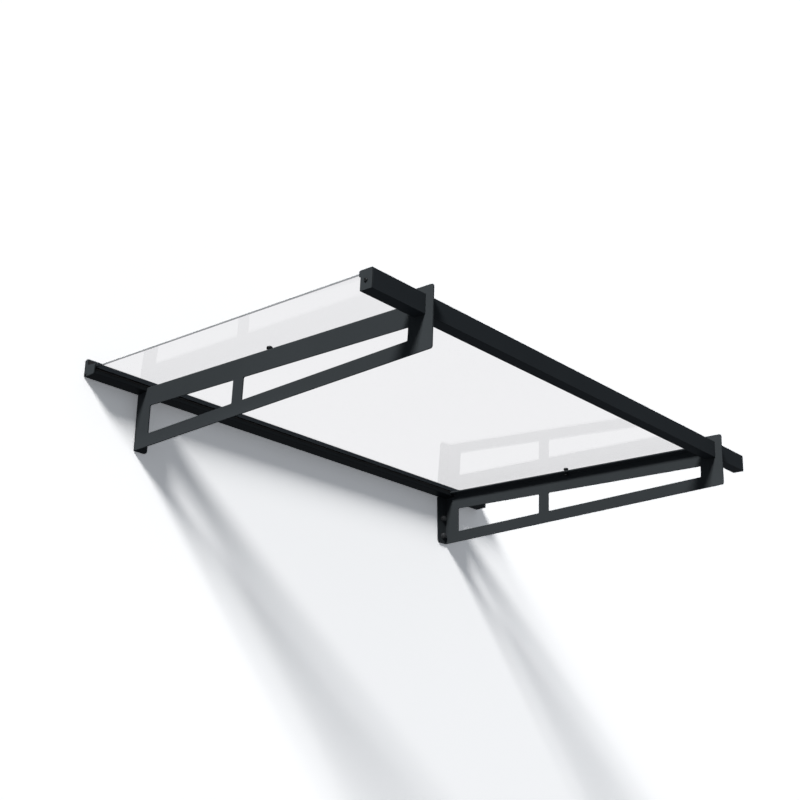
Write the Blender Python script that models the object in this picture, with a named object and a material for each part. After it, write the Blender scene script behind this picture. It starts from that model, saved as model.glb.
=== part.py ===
"""A door awning: a clear roof panel between a wall profile and a front bar, carried by two folded arms.

Sections are drawn as (depth, height) points. Depth runs out from the wall along -Y, and height is
measured from the origin, which lies on the wall plane behind the middle of the wall profile's length.
Metres, +Z up, +X to the right of someone who faces the wall.
"""

import math

import bmesh
import bpy
from mathutils import Matrix, Vector

# Whole awning
AWNING_WIDTH = 1.400
ROOF_PITCH = math.radians(2.95)
CONTACT_GAP = 0.0003
CORNER_STEPS = 3
ROUND_SIDES = 24

# Wall profile, a hollow extrusion with a sloping hood over the panel's rear edge
PROFILE_HEIGHT = 0.0414
PROFILE_BELOW_ORIGIN = 0.020
PROFILE_DEPTH = 0.035
PROFILE_WALL = 0.0022
PROFILE_BACK_WALL = 0.003
PROFILE_EDGE_RADIUS = 0.0006
HOOD_ROOT_DEPTH = 0.007
HOOD_SLOPE = math.radians(26)
SKIRT_WALL = 0.0014
SKIRT_OVER_PANEL = 0.0007
LEDGE_WIDTH = 0.005
LEDGE_THICKNESS = 0.0018
HOOD_PLUG_LENGTH = 0.012
SEAL_GROOVE_DEPTH = 0.005
SEAL_GROOVE_DROP = 0.0056
SEAL_STAND = 0.0012
PORT_BLOCK_DEPTH = 0.010
PROFILE_PORT_DEPTH = 0.0055
PROFILE_PORT_RISE = 0.0042
GASKET_RIB_DEPTH = 0.0245
GASKET_RIB_WIDTH = 0.0015
GASKET_RIB_HEIGHT = 0.0025

# Roof panel, a clear solid sheet
PANEL_THICKNESS = 0.004
PANEL_HEIGHT_AT_WALL = -0.0059
PANEL_REAR_EDGE = 0.0105
PANEL_IN_BAR = 0.019
PANEL_SIDE_GAP = 0.0005
PANEL_CORNER_RADIUS = 0.002

# Gaskets
LOWER_GASKET_HEIGHT = 0.0039
UPPER_GASKET_HEIGHT = 0.0038
FRONT_GASKET_SEAT = 0.011
FRONT_GASKET_LIP = 0.0031
FRONT_GASKET_DROP = 0.0013
FRONT_UPPER_GASKET_HEIGHT = 0.0015

# Front bar, a hollow extrusion with a slot for the panel's front edge
BAR_REACH = 0.8653
BAR_DEPTH = 0.0286
BAR_HEIGHT = 0.041
BAR_WALL = 0.002
BAR_TOP_WALL = 0.0019
BAR_EDGE_RADIUS = 0.001
DRIP_LIP = 0.0036
DRIP_LIP_EDGE = 0.0006
BAR_PORT_FROM_REAR = 0.0142
BAR_PORT_BELOW_PANEL = 0.0143
PORT_BOSS_RADIUS = 0.0036
PORT_RIB_WIDTH = 0.003

# End caps
CAP_THICKNESS = 0.003
PROFILE_CAP_RIM = 0.0008
PROFILE_CAP_FOOT_RIM = 0.0003
PROFILE_CAP_BROW_RIM = 0.0022
PROFILE_CAP_FRONT_OVER_PANEL = 0.0058
PROFILE_CAP_REAR_OVER_PANEL = 0.008
PROFILE_CAP_STRIP_FOOT = 0.010
PROFILE_CAP_STRIP_TOP = 0.009
PROFILE_CAP_BELOW_TOP = 0.0034
PROFILE_CAP_PEAK_BELOW_TOP = 0.0012
PROFILE_CAP_PEAK_DEPTH = 0.0062
CAP_EDGE_RADIUS = 0.0008

# Arms, each one folded sheet
ARM_INSET = 0.146
ARM_SHEET = 0.003
ARM_BEND_RADIUS = 0.0005
ARM_BEND_STEPS = 4
ARM_STANDOFF = 0.0024
ARM_REAR_HEIGHT = 0.1348
ARM_REAR_FLANGE = 0.0373
ARM_TOP_FLANGE = 0.0224
ARM_FRONT_LEAN = math.radians(2.63)
ARM_CORNER_RADIUS = 0.005
FLANGE_FOOT_RADIUS = 0.008
FLANGE_END_RADIUS = 0.004
BEND_RELIEF = 0.0002
PROFILE_CLEARANCE = 0.0008
EAR_AHEAD_OF_BAR = 0.0179
EAR_ABOVE_BAR = 0.0166
EAR_REAR_RADIUS = 0.003
BAR_PLAY = 0.0004
GASKET_PLAY = 0.0012
BOTTOM_RAIL = 0.0301
TOP_RAIL = 0.0466
REAR_STILE = 0.0482
REAR_STILE_LEAN = math.radians(1.06)
MULLION_REACH = 0.344
MULLION_WIDTH = 0.0312
MULLION_LEAN = math.radians(2.63)
FRONT_STILE = 0.061
FRONT_STILE_LEAN = math.radians(4.35)
WINDOW_RADIUS = 0.003

# Fasteners
SCREW_PLAY = 0.0005
BORE_GAP = 0.0003
ARM_SCREW_INSET = 0.016
ARM_SCREW_LOW = 0.0215
ARM_SCREW_SPACING = 0.051
ARM_SCREW_RADIUS = 0.004
ARM_SCREW_LENGTH = 0.080
ARM_SCREW_FLATS = 0.013
ARM_SCREW_HEAD = 0.0055
ARM_WASHER_RADIUS = 0.0085
ARM_WASHER_THICKNESS = 0.0016
PROFILE_SCREW_COUNT = 4
PROFILE_SCREW_END = 0.060
PROFILE_SCREW_RADIUS = 0.003
PROFILE_SCREW_LENGTH = 0.060
PROFILE_SCREW_HEAD_RADIUS = 0.0055
PROFILE_SCREW_HEAD = 0.0032
PROFILE_WASHER_RADIUS = 0.006
PROFILE_WASHER_THICKNESS = 0.0012
PROFILE_WASHER_CLEARANCE = 0.0008
CAP_SCREW_RADIUS = 0.0016
CAP_SCREW_LENGTH = 0.016
BAR_CAP_SCREW_HEAD_RADIUS = 0.0042
BAR_CAP_SCREW_HEAD = 0.0026
PROFILE_CAP_SCREW_HEAD_RADIUS = 0.0033
PROFILE_CAP_SCREW_HEAD = 0.0022
PANEL_BOLT_INSET = 0.011
PANEL_BOLT_REACH = 0.430
PANEL_BOLT_RADIUS = 0.003
PANEL_BOLT_HEAD_RADIUS = 0.0065
PANEL_BOLT_HEAD = 0.0040
PANEL_BOLT_TAIL = 0.002
PANEL_HOLE_PLAY = 0.0015
BOLT_SEAL_THICKNESS = 0.0015
SPACER_RADIUS = 0.0065
BOLT_WASHER_RADIUS = 0.0055
BOLT_WASHER_THICKNESS = 0.0016
NUT_FLATS = 0.010
NUT_HEIGHT = 0.005
SOCKET_SHARE_OF_HEAD = 0.55
TIP_LENGTH_IN_RADII = 2.5

# Places that follow from the sizes above
PROFILE_BOTTOM = -PROFILE_BELOW_ORIGIN
PROFILE_TOP = PROFILE_HEIGHT - PROFILE_BELOW_ORIGIN
SKIRT_REAR = PROFILE_DEPTH - SKIRT_WALL
LEDGE_REAR = SKIRT_REAR - LEDGE_WIDTH
EXTRUSION_END = AWNING_WIDTH / 2 - CAP_THICKNESS - CONTACT_GAP
CAP_INNER = AWNING_WIDTH / 2 - CAP_THICKNESS
ARM_OUTER = AWNING_WIDTH / 2 - ARM_INSET
ARM_BOTTOM = PROFILE_BOTTOM - CONTACT_GAP - ARM_REAR_HEIGHT
ARM_REAR_TOP = PROFILE_BOTTOM - CONTACT_GAP
BAR_REAR = BAR_REACH - BAR_DEPTH
BAR_SLOT_ROOF = PANEL_THICKNESS + FRONT_UPPER_GASKET_HEIGHT + 2 * CONTACT_GAP
BAR_TOP = BAR_SLOT_ROOF + BAR_TOP_WALL
BAR_BOTTOM = BAR_TOP - BAR_HEIGHT
BAR_SLOT_FLOOR = -LOWER_GASKET_HEIGHT
BAR_PORT = (BAR_REAR + BAR_PORT_FROM_REAR, -BAR_PORT_BELOW_PANEL)
PROFILE_PORT = (PROFILE_PORT_DEPTH, PROFILE_BOTTOM + PROFILE_PORT_RISE)
PORT_RADIUS = CAP_SCREW_RADIUS + BORE_GAP
EAR_TOP = BAR_TOP + EAR_ABOVE_BAR
ARM_SCREW_HEIGHTS = {
    "lower": ARM_BOTTOM + ARM_SCREW_LOW,
    "upper": ARM_BOTTOM + ARM_SCREW_LOW + ARM_SCREW_SPACING,
}
SIDES = {"left": -1, "right": 1}

# Colours, roughness and metallic values of the finishes
FINISHES = {
    "anthracite_arm": ((0.040, 0.047, 0.051), 0.45, 0.0),
    "anthracite_profile": ((0.034, 0.040, 0.044), 0.40, 0.0),
    "cap_plastic": ((0.042, 0.048, 0.052), 0.50, 0.0),
    "clear_panel": ((0.93, 0.94, 0.95), 0.03, 0.0),
    "black_rubber": ((0.012, 0.012, 0.013), 0.75, 0.0),
    "black_screw": ((0.030, 0.033, 0.035), 0.35, 0.6),
}


def roof_point(along, above):
    """The (depth, height) of a point along the slope from the wall and above the panel's underside."""
    return (
        along * math.cos(ROOF_PITCH) + above * math.sin(ROOF_PITCH),
        PANEL_HEIGHT_AT_WALL - along * math.sin(ROOF_PITCH) + above * math.cos(ROOF_PITCH),
    )


def roof_place(depth, height):
    """The (along, above) of a section point: the other way round from roof_point."""
    rise = height - PANEL_HEIGHT_AT_WALL
    return (
        depth * math.cos(ROOF_PITCH) - rise * math.sin(ROOF_PITCH),
        depth * math.sin(ROOF_PITCH) + rise * math.cos(ROOF_PITCH),
    )


def above_panel(depth, rise):
    """The section point straight above the panel's underside at a depth."""
    return depth, PANEL_HEIGHT_AT_WALL - depth * math.tan(ROOF_PITCH) + rise


def on_wall_axes(x, depth, height):
    return Vector((x, -depth, height))


def rounded(corners):
    """An outline from (point, radius) corners, each radius turned into an arc of short edges."""
    outline = []
    count = len(corners)
    for index, (point, radius) in enumerate(corners):
        here = Vector(point)
        if not radius:
            outline.append(here)
            continue
        back = (Vector(corners[index - 1][0]) - here).normalized()
        ahead = (Vector(corners[(index + 1) % count][0]) - here).normalized()
        half_angle = back.angle(ahead) / 2
        centre = here + (back + ahead).normalized() * radius / math.sin(half_angle)
        start = here + back * radius / math.tan(half_angle) - centre
        end = here + ahead * radius / math.tan(half_angle) - centre
        sweep = start.angle_signed(end)
        for step in range(CORNER_STEPS + 1):
            turn = Matrix.Rotation(-sweep * step / CORNER_STEPS, 2)
            outline.append(centre + turn @ start)
    return outline


def sharp(points):
    return [Vector(point) for point in points]


def circle(centre, radius, sides=ROUND_SIDES):
    steps = (2 * math.pi * step / sides for step in range(sides))
    return [Vector(centre) + radius * Vector((math.cos(a), math.sin(a))) for a in steps]


def filled_prism(loops, near, thickness):
    """A closed mesh: the outline loops[0] less the holes loops[1:], placed by near, then thickened."""
    mesh = bmesh.new()
    for loop in loops:
        corners = [mesh.verts.new(near(point)) for point in loop]
        for first, second in zip(corners, corners[1:] + corners[:1]):
            mesh.edges.new((first, second))
    bmesh.ops.triangle_fill(mesh, use_beauty=True, use_dissolve=False, edges=mesh.edges[:])
    raised = bmesh.ops.extrude_face_region(mesh, geom=mesh.faces[:])
    corners = [item for item in raised["geom"] if isinstance(item, bmesh.types.BMVert)]
    bmesh.ops.translate(mesh, vec=thickness, verts=corners)
    bmesh.ops.recalc_face_normals(mesh, faces=mesh.faces[:])
    return mesh


def finish_material(name):
    material = bpy.data.materials.get(name)
    if material:
        return material
    colour, roughness, metallic = FINISHES[name]
    material = bpy.data.materials.new(name)
    material.use_nodes = True
    shader = material.node_tree.nodes["Principled BSDF"]
    shader.inputs["Base Color"].default_value = (*colour, 1.0)
    shader.inputs["Roughness"].default_value = roughness
    shader.inputs["Metallic"].default_value = metallic
    if name == "clear_panel":
        shader.inputs["Transmission Weight"].default_value = 1.0
        shader.inputs["IOR"].default_value = 1.49
    return material


def add_piece(name, mesh, finish, smooth=False):
    """One named object from a bmesh, which is used up."""
    data = bpy.data.meshes.new(name)
    mesh.to_mesh(data)
    mesh.free()
    if smooth:
        data.shade_smooth()
        data.set_sharp_from_angle(angle=math.radians(30))
    data.materials.append(finish_material(finish))
    piece = bpy.data.objects.new(name, data)
    bpy.context.scene.collection.objects.link(piece)
    return piece


def extrusion(name, loops, start, end, finish):
    """A piece with one section from x = start to x = end."""
    mesh = filled_prism(
        loops,
        lambda point: on_wall_axes(start, *point),
        Vector((end - start, 0, 0)),
    )
    return add_piece(name, mesh, finish, smooth=True)


def ring(radius, flats=False, sides=ROUND_SIDES):
    """Points round an axis: a circle, or a hexagon whose flats lie at the radius."""
    points = []
    for step in range(sides):
        angle = 2 * math.pi * step / sides
        reach = radius
        if flats:
            reach = radius / math.cos(angle % (math.pi / 3) - math.pi / 6)
        points.append((reach * math.cos(angle), reach * math.sin(angle)))
    return points


def turned(name, profile, origin, direction, finish):
    """A closed turned body. The profile lists (distance along the axis, radius, whether it is a hexagon).

    It starts and ends on the axis, or returns to its first ring round a bore.
    """
    axis = Vector(direction).normalized()
    frame = axis.to_track_quat("Z", "Y").to_matrix()
    mesh = bmesh.new()
    rings = []
    for along, radius, flats in profile:
        points = ring(radius, flats) if radius else [(0.0, 0.0)]
        rings.append([mesh.verts.new(Vector(origin) + frame @ Vector((*p, along))) for p in points])
    closed = bool(profile[0][1])
    pairs = list(zip(rings, rings[1:]))
    if closed:
        pairs.append((rings[-1], rings[0]))
    for first, second in pairs:
        for step in range(ROUND_SIDES):
            after = (step + 1) % ROUND_SIDES
            corners = [first[step % len(first)], first[after % len(first)]]
            corners += [second[after % len(second)], second[step % len(second)]]
            mesh.faces.new(list(dict.fromkeys(corners)))
    bmesh.ops.recalc_face_normals(mesh, faces=mesh.faces[:])
    return add_piece(name, mesh, finish, smooth=True)


def washer(name, origin, direction, inner, outer, thickness, finish):
    profile = [(0, inner, False), (0, outer, False), (thickness, outer, False), (thickness, inner, False)]
    return turned(name, profile, origin, direction, finish)


def pointed_shank(radius, length):
    """The profile of a screw's shank from under its head to its point."""
    return [(0, radius, False), (-(length - TIP_LENGTH_IN_RADII * radius), radius, False), (-length, 0, False)]


def domed_head(radius, height, socket_radius):
    """The profile of a domed head with a hexagon socket, from the socket's floor to under the head."""
    socket_floor = height * (1 - SOCKET_SHARE_OF_HEAD)
    dome = [(height * 0.96, radius * 0.62, False), (height * 0.74, radius * 0.88, False)]
    return [
        (socket_floor, 0, False),
        (socket_floor, socket_radius, True),
        (height, socket_radius, True),
        *dome,
        (height * 0.35, radius, False),
        (0, radius, False),
    ]


def hexagon_head(flats, height):
    """The profile of a hexagon head with a turned top edge."""
    half = flats / 2
    return [(height, 0, False), (height, flats * 0.46, False), (height * 0.9, half, True), (0, half, True)]


def hood(depth, below=0.0):
    """The section point at a depth on the hood's top face, or straight below that face by a thickness."""
    drop = math.tan(HOOD_SLOPE) * (depth - HOOD_ROOT_DEPTH)
    return depth, PROFILE_TOP - drop - below / math.cos(HOOD_SLOPE)


def profile_section():
    """The wall profile's outline, its hollow and its screw port."""
    inside_front = PROFILE_DEPTH - PROFILE_WALL
    shelf = profile_shelf()
    ledge = profile_ledge()
    groove_floor = PROFILE_TOP - SEAL_GROOVE_DROP
    root_inside = SEAL_GROOVE_DEPTH + PROFILE_WALL
    rib_front = GASKET_RIB_DEPTH + GASKET_RIB_WIDTH
    rib_top = shelf + GASKET_RIB_HEIGHT

    edge = PROFILE_EDGE_RADIUS
    outline = rounded(
        [
            ((0, PROFILE_BOTTOM), 0),
            ((PROFILE_DEPTH, PROFILE_BOTTOM), edge),
            ((PROFILE_DEPTH, shelf), 0),
            ((rib_front, shelf), 0),
            ((rib_front, rib_top), 0),
            ((GASKET_RIB_DEPTH, rib_top), 0),
            ((GASKET_RIB_DEPTH, shelf), 0),
            ((PROFILE_BACK_WALL, shelf), 0),
            ((PROFILE_BACK_WALL, groove_floor - PROFILE_WALL), 0),
            ((root_inside, groove_floor - PROFILE_WALL), 0),
            (hood(root_inside, PROFILE_WALL), 0),
            (hood(inside_front, PROFILE_WALL), 0),
            ((inside_front, ledge + LEDGE_THICKNESS), 0),
            ((LEDGE_REAR, ledge + LEDGE_THICKNESS), 0),
            ((LEDGE_REAR, ledge), 0),
            ((SKIRT_REAR, ledge), 0),
            (above_panel(SKIRT_REAR, PANEL_THICKNESS + SKIRT_OVER_PANEL), 0),
            (above_panel(PROFILE_DEPTH, PANEL_THICKNESS + SKIRT_OVER_PANEL), 0),
            (hood(PROFILE_DEPTH), edge),
            (hood(HOOD_ROOT_DEPTH), edge),
            ((SEAL_GROOVE_DEPTH, PROFILE_TOP), edge),
            ((SEAL_GROOVE_DEPTH, groove_floor), 0),
            ((0, groove_floor), 0),
        ]
    )
    hollow = sharp(
        [
            (PORT_BLOCK_DEPTH, PROFILE_BOTTOM + PROFILE_WALL),
            (inside_front, PROFILE_BOTTOM + PROFILE_WALL),
            (inside_front, shelf - PROFILE_WALL),
            (PORT_BLOCK_DEPTH, shelf - PROFILE_WALL),
        ]
    )
    return [outline, hollow, circle(PROFILE_PORT, PORT_RADIUS)]


def profile_screw_places():
    """The x of each screw through the wall profile, spread evenly between its ends."""
    reach = EXTRUSION_END - PROFILE_SCREW_END
    step = 2 * reach / (PROFILE_SCREW_COUNT - 1)
    return [-reach + step * index for index in range(PROFILE_SCREW_COUNT)]


def profile_shelf():
    """The height of the shelf in the wall profile that the lower gasket lies on."""
    return above_panel(PROFILE_DEPTH, -LOWER_GASKET_HEIGHT)[1]


def profile_ledge():
    """The height of the ledge inside the hood's skirt that presses on the upper gasket."""
    return above_panel(PROFILE_DEPTH, PANEL_THICKNESS + UPPER_GASKET_HEIGHT)[1]


def profile_screw_height():
    return profile_shelf() + PROFILE_WASHER_RADIUS + PROFILE_WASHER_CLEARANCE


def drill(piece, places, radius, depth):
    """Cuts round holes along Y through the piece at (x, height) places, from the wall to a depth."""
    cutters = bmesh.new()
    reach = depth * 1.5
    for x, height in places:
        placed = Matrix.Translation((x, 0, height)) @ Matrix.Rotation(math.pi / 2, 4, "X")
        bmesh.ops.create_cone(
            cutters,
            cap_ends=True,
            segments=ROUND_SIDES,
            radius1=radius,
            radius2=radius,
            depth=2 * reach,
            matrix=placed,
        )
    cutter = add_piece(piece.name + "_drill", cutters, "black_screw")
    cutter.hide_render = True
    cutter.display_type = "WIRE"
    cut = piece.modifiers.new("drilled", "BOOLEAN")
    cut.operation = "DIFFERENCE"
    cut.object = cutter


def make_wall_profile():
    profile = extrusion("wall_profile", profile_section(), -EXTRUSION_END, EXTRUSION_END, "anthracite_profile")
    places = [(x, profile_screw_height()) for x in profile_screw_places()]
    drill(profile, places, PROFILE_SCREW_RADIUS + SCREW_PLAY, PROFILE_BACK_WALL)


def make_wall_seal():
    """The rubber strip in the groove at the top of the wall profile, pressed against the wall."""
    floor = PROFILE_TOP - SEAL_GROOVE_DROP + CONTACT_GAP
    crown = PROFILE_TOP + SEAL_STAND
    front = SEAL_GROOVE_DEPTH - CONTACT_GAP
    section = rounded(
        [
            ((0, floor), 0),
            ((front, floor), 0),
            ((front, crown), front * 0.45),
            ((0, crown), front * 0.3),
        ]
    )
    extrusion("wall_seal", [section], -EXTRUSION_END, EXTRUSION_END, "black_rubber")


def make_rear_gaskets():
    """The two rubber strips that grip the panel's rear edge: one on the shelf, one behind the skirt."""
    shelf = profile_shelf() + CONTACT_GAP
    rear = GASKET_RIB_DEPTH + GASKET_RIB_WIDTH + CONTACT_GAP
    lower = sharp(
        [
            (rear, shelf),
            (PROFILE_DEPTH, shelf),
            above_panel(PROFILE_DEPTH, -CONTACT_GAP),
            above_panel(rear, -CONTACT_GAP),
        ]
    )
    extrusion("rear_lower_gasket", [lower], -EXTRUSION_END, EXTRUSION_END, "black_rubber")
    foot = PANEL_THICKNESS + CONTACT_GAP
    crown = profile_ledge() - CONTACT_GAP
    front = SKIRT_REAR - CONTACT_GAP
    upper = sharp(
        [
            above_panel(LEDGE_REAR, foot),
            above_panel(front, foot),
            (front, crown),
            (LEDGE_REAR, crown),
        ]
    )
    extrusion("rear_upper_gasket", [upper], -EXTRUSION_END, EXTRUSION_END, "black_rubber")


def make_hood_plugs():
    """The rubber plugs that fill the ends of the hood, above the panel."""
    rear = SEAL_GROOVE_DEPTH + PROFILE_WALL + CONTACT_GAP
    front = PROFILE_DEPTH - PROFILE_WALL - CONTACT_GAP
    above_ledge = profile_ledge() + LEDGE_THICKNESS + CONTACT_GAP
    behind_ledge = LEDGE_REAR - CONTACT_GAP
    foot = PANEL_THICKNESS + CONTACT_GAP
    section = sharp(
        [
            above_panel(rear, foot),
            above_panel(behind_ledge, foot),
            (behind_ledge, above_ledge),
            (front, above_ledge),
            hood(front, PROFILE_WALL + CONTACT_GAP),
            hood(rear, PROFILE_WALL + CONTACT_GAP),
        ]
    )
    for side, sign in SIDES.items():
        inner = sign * (EXTRUSION_END - HOOD_PLUG_LENGTH)
        extrusion(side + "_hood_plug", [section], inner, sign * EXTRUSION_END, "black_rubber")


def make_profile_caps():
    """The plates that close the wall profile's ends below its hood, with a strip up the wall."""
    bottom = PROFILE_BOTTOM - PROFILE_CAP_RIM
    brow = above_panel(PROFILE_DEPTH + PROFILE_CAP_BROW_RIM, PANEL_THICKNESS + PROFILE_CAP_FRONT_OVER_PANEL)
    strip_foot = above_panel(PROFILE_CAP_STRIP_FOOT, PANEL_THICKNESS + PROFILE_CAP_REAR_OVER_PANEL)
    strip_top = PROFILE_TOP - PROFILE_CAP_BELOW_TOP
    peak = (PROFILE_CAP_PEAK_DEPTH, PROFILE_TOP - PROFILE_CAP_PEAK_BELOW_TOP)
    section = rounded(
        [
            ((0, bottom), 0),
            ((PROFILE_DEPTH + PROFILE_CAP_FOOT_RIM, bottom), CAP_EDGE_RADIUS),
            (brow, CAP_EDGE_RADIUS),
            (strip_foot, CAP_EDGE_RADIUS),
            ((PROFILE_CAP_STRIP_TOP, strip_top), CAP_EDGE_RADIUS),
            (peak, CAP_EDGE_RADIUS),
            ((0, strip_top), 0),
        ]
    )
    for side, sign in SIDES.items():
        make_cap(side + "_profile_cap", section, PROFILE_PORT, sign)
        make_cap_screw(
            side + "_profile_cap_screw",
            PROFILE_PORT,
            PROFILE_CAP_SCREW_HEAD_RADIUS,
            PROFILE_CAP_SCREW_HEAD,
            sign,
        )


def make_cap(name, section, port, sign):
    loops = [section, circle(port, CAP_SCREW_RADIUS + BORE_GAP)]
    extrusion(name, loops, sign * CAP_INNER, sign * AWNING_WIDTH / 2, "cap_plastic")


def make_cap_screw(name, port, head_radius, head_height, sign):
    """A self-tapping screw through an end cap into its port."""
    origin = on_wall_axes(sign * (AWNING_WIDTH / 2 + CONTACT_GAP), *port)
    profile = domed_head(head_radius, head_height, head_radius * 0.42)
    profile += pointed_shank(CAP_SCREW_RADIUS, CAP_SCREW_LENGTH)
    turned(name, profile, origin, (sign, 0, 0), "black_screw")


def make_profile_wall_screws():
    """The screws inside the wall profile that hold it to the wall, each on a washer."""
    washer_seat = PROFILE_BACK_WALL + CONTACT_GAP
    head_seat = washer_seat + PROFILE_WASHER_THICKNESS + CONTACT_GAP
    for number, x in enumerate(profile_screw_places(), 1):
        washer(
            f"profile_washer_{number}",
            on_wall_axes(x, washer_seat, profile_screw_height()),
            (0, -1, 0),
            PROFILE_SCREW_RADIUS + BORE_GAP,
            PROFILE_WASHER_RADIUS,
            PROFILE_WASHER_THICKNESS,
            "black_screw",
        )
        profile = domed_head(PROFILE_SCREW_HEAD_RADIUS, PROFILE_SCREW_HEAD, PROFILE_SCREW_HEAD_RADIUS * 0.45)
        profile += pointed_shank(PROFILE_SCREW_RADIUS, PROFILE_SCREW_LENGTH)
        place = on_wall_axes(x, head_seat, profile_screw_height())
        turned(f"profile_wall_screw_{number}", profile, place, (0, -1, 0), "black_screw")


def bolt_place(sign):
    """The x and the distance along the roof of a panel bolt's axis."""
    return sign * (ARM_OUTER - PANEL_BOLT_INSET), PANEL_BOLT_REACH


def make_roof_panel():
    half_width = CAP_INNER - PANEL_SIDE_GAP
    rear = PANEL_REAR_EDGE
    front = BAR_REAR + PANEL_IN_BAR
    radius = PANEL_CORNER_RADIUS
    outline = rounded(
        [
            ((-half_width, rear), radius),
            ((half_width, rear), radius),
            ((half_width, front), radius),
            ((-half_width, front), radius),
        ]
    )
    holes = [circle(bolt_place(sign), PANEL_BOLT_RADIUS + PANEL_HOLE_PLAY) for sign in SIDES.values()]
    foot = Vector(roof_point(0, 0))
    crown = Vector(roof_point(0, PANEL_THICKNESS))
    mesh = filled_prism(
        [outline, *holes],
        lambda point: on_wall_axes(point[0], *roof_point(point[1], 0)),
        on_wall_axes(0, *(crown - foot)),
    )
    add_piece("roof_panel", mesh, "clear_panel")


def bar_outline(edge):
    """The front bar's outer corners on the roof's axes, without its slot."""
    return [
        ((BAR_REAR, BAR_BOTTOM), edge),
        ((BAR_REACH, BAR_BOTTOM), edge),
        ((BAR_REACH, BAR_TOP), edge),
        ((BAR_REAR, BAR_TOP), 0),
        ((BAR_REAR - DRIP_LIP, BAR_SLOT_ROOF + DRIP_LIP_EDGE), 0),
    ]


def on_roof(outline):
    return [Vector(roof_point(*point)) for point in outline]


def bar_chamber():
    """The bar's hollow, which bends round the boss of the screw port."""
    rear = BAR_REAR + BAR_WALL
    front = BAR_REACH - BAR_WALL
    bottom = BAR_BOTTOM + BAR_WALL
    top = BAR_SLOT_FLOOR - BAR_WALL
    half_rib = PORT_RIB_WIDTH / 2
    rib_angle = math.asin(half_rib / PORT_BOSS_RADIUS)
    sweep = 2 * (math.pi - rib_angle)
    steps = 4 * CORNER_STEPS
    boss = []
    for step in range(steps + 1):
        angle = rib_angle + sweep * step / steps
        offset = PORT_BOSS_RADIUS * Vector((math.sin(angle), math.cos(angle)))
        boss.append(Vector(BAR_PORT) + offset)
    corners = sharp([(rear, bottom), (front, bottom), (front, top), (BAR_PORT[0] + half_rib, top)])
    return corners + boss + sharp([(BAR_PORT[0] - half_rib, top), (rear, top)])


def make_front_bar():
    slot = [
        ((BAR_REAR - DRIP_LIP, BAR_SLOT_ROOF), 0),
        ((BAR_REACH - BAR_WALL, BAR_SLOT_ROOF), 0),
        ((BAR_REACH - BAR_WALL, BAR_SLOT_FLOOR), 0),
        ((BAR_REAR, BAR_SLOT_FLOOR), 0),
    ]
    outline = rounded(bar_outline(BAR_EDGE_RADIUS) + slot)
    loops = [on_roof(outline), on_roof(bar_chamber()), on_roof(circle(BAR_PORT, PORT_RADIUS))]
    extrusion("front_bar", loops, -EXTRUSION_END, EXTRUSION_END, "anthracite_profile")


def make_front_gaskets():
    """The rubber strips that grip the panel's front edge. The lower one has a lip behind the bar."""
    floor = BAR_SLOT_FLOOR + CONTACT_GAP
    front = BAR_REAR + FRONT_GASKET_SEAT
    drop = BAR_SLOT_FLOOR - FRONT_GASKET_DROP
    lip_front = BAR_REAR - CONTACT_GAP
    lip_rear = BAR_REAR - FRONT_GASKET_LIP
    section = rounded(
        [
            ((lip_rear, drop), FRONT_GASKET_LIP * 0.3),
            ((lip_front, drop), 0),
            ((lip_front, floor), 0),
            ((front, floor), 0),
            ((front, -CONTACT_GAP), 0),
            ((lip_rear, -CONTACT_GAP), 0),
        ]
    )
    extrusion("front_lower_gasket", [on_roof(section)], -EXTRUSION_END, EXTRUSION_END, "black_rubber")
    foot = PANEL_THICKNESS + CONTACT_GAP
    crown = BAR_SLOT_ROOF - CONTACT_GAP
    upper = on_roof([(BAR_REAR, foot), (front, foot), (front, crown), (BAR_REAR, crown)])
    extrusion("front_upper_gasket", [upper], -EXTRUSION_END, EXTRUSION_END, "black_rubber")


def make_bar_caps():
    """The plates that close the front bar's ends, with a nose over the end of the gasket."""
    nose = [
        ((BAR_REAR - DRIP_LIP, BAR_SLOT_FLOOR), CAP_EDGE_RADIUS),
        ((BAR_REAR, BAR_SLOT_FLOOR - DRIP_LIP / 2), 0),
    ]
    section = on_roof(rounded(bar_outline(BAR_EDGE_RADIUS) + nose))
    port = roof_point(*BAR_PORT)
    for side, sign in SIDES.items():
        make_cap(side + "_bar_cap", section, port, sign)
        make_cap_screw(side + "_bar_cap_screw", port, BAR_CAP_SCREW_HEAD_RADIUS, BAR_CAP_SCREW_HEAD, sign)


class Fold:
    """The bend that both of an arm's flanges share, and the flat sheet's length inside it."""

    outside = ARM_BEND_RADIUS + ARM_SHEET
    flat_length = math.pi / 2 * (ARM_BEND_RADIUS + ARM_SHEET / 2)

    @classmethod
    def flat_reach(cls, folded):
        """How far past the bend's start the flat sheet goes for a flange of a folded width."""
        return cls.flat_length + folded - cls.outside

    @classmethod
    def bend(cls, past, inward):
        """The (inward, rise) of a point past the bend's start and inward from the outer face."""
        turn = min(past / cls.flat_length, 1) * math.pi / 2
        arm = cls.outside - inward
        straight = max(past - cls.flat_length, 0)
        return cls.outside - arm * math.cos(turn) + straight, arm * math.sin(turn)


ARM_TOP = -ARM_STANDOFF
TOP_BEND = ARM_TOP - Fold.outside
TOP_FLANGE_FRONT = BAR_REAR - FRONT_GASKET_LIP - GASKET_PLAY
TOP_FLANGE_REAR = PROFILE_DEPTH + PROFILE_CLEARANCE


def leaning(depth, lean, rise):
    """A point on an edge that leans outwards as it rises from the arm's bottom edge."""
    return depth + math.tan(lean) * rise, ARM_BOTTOM + rise


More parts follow.
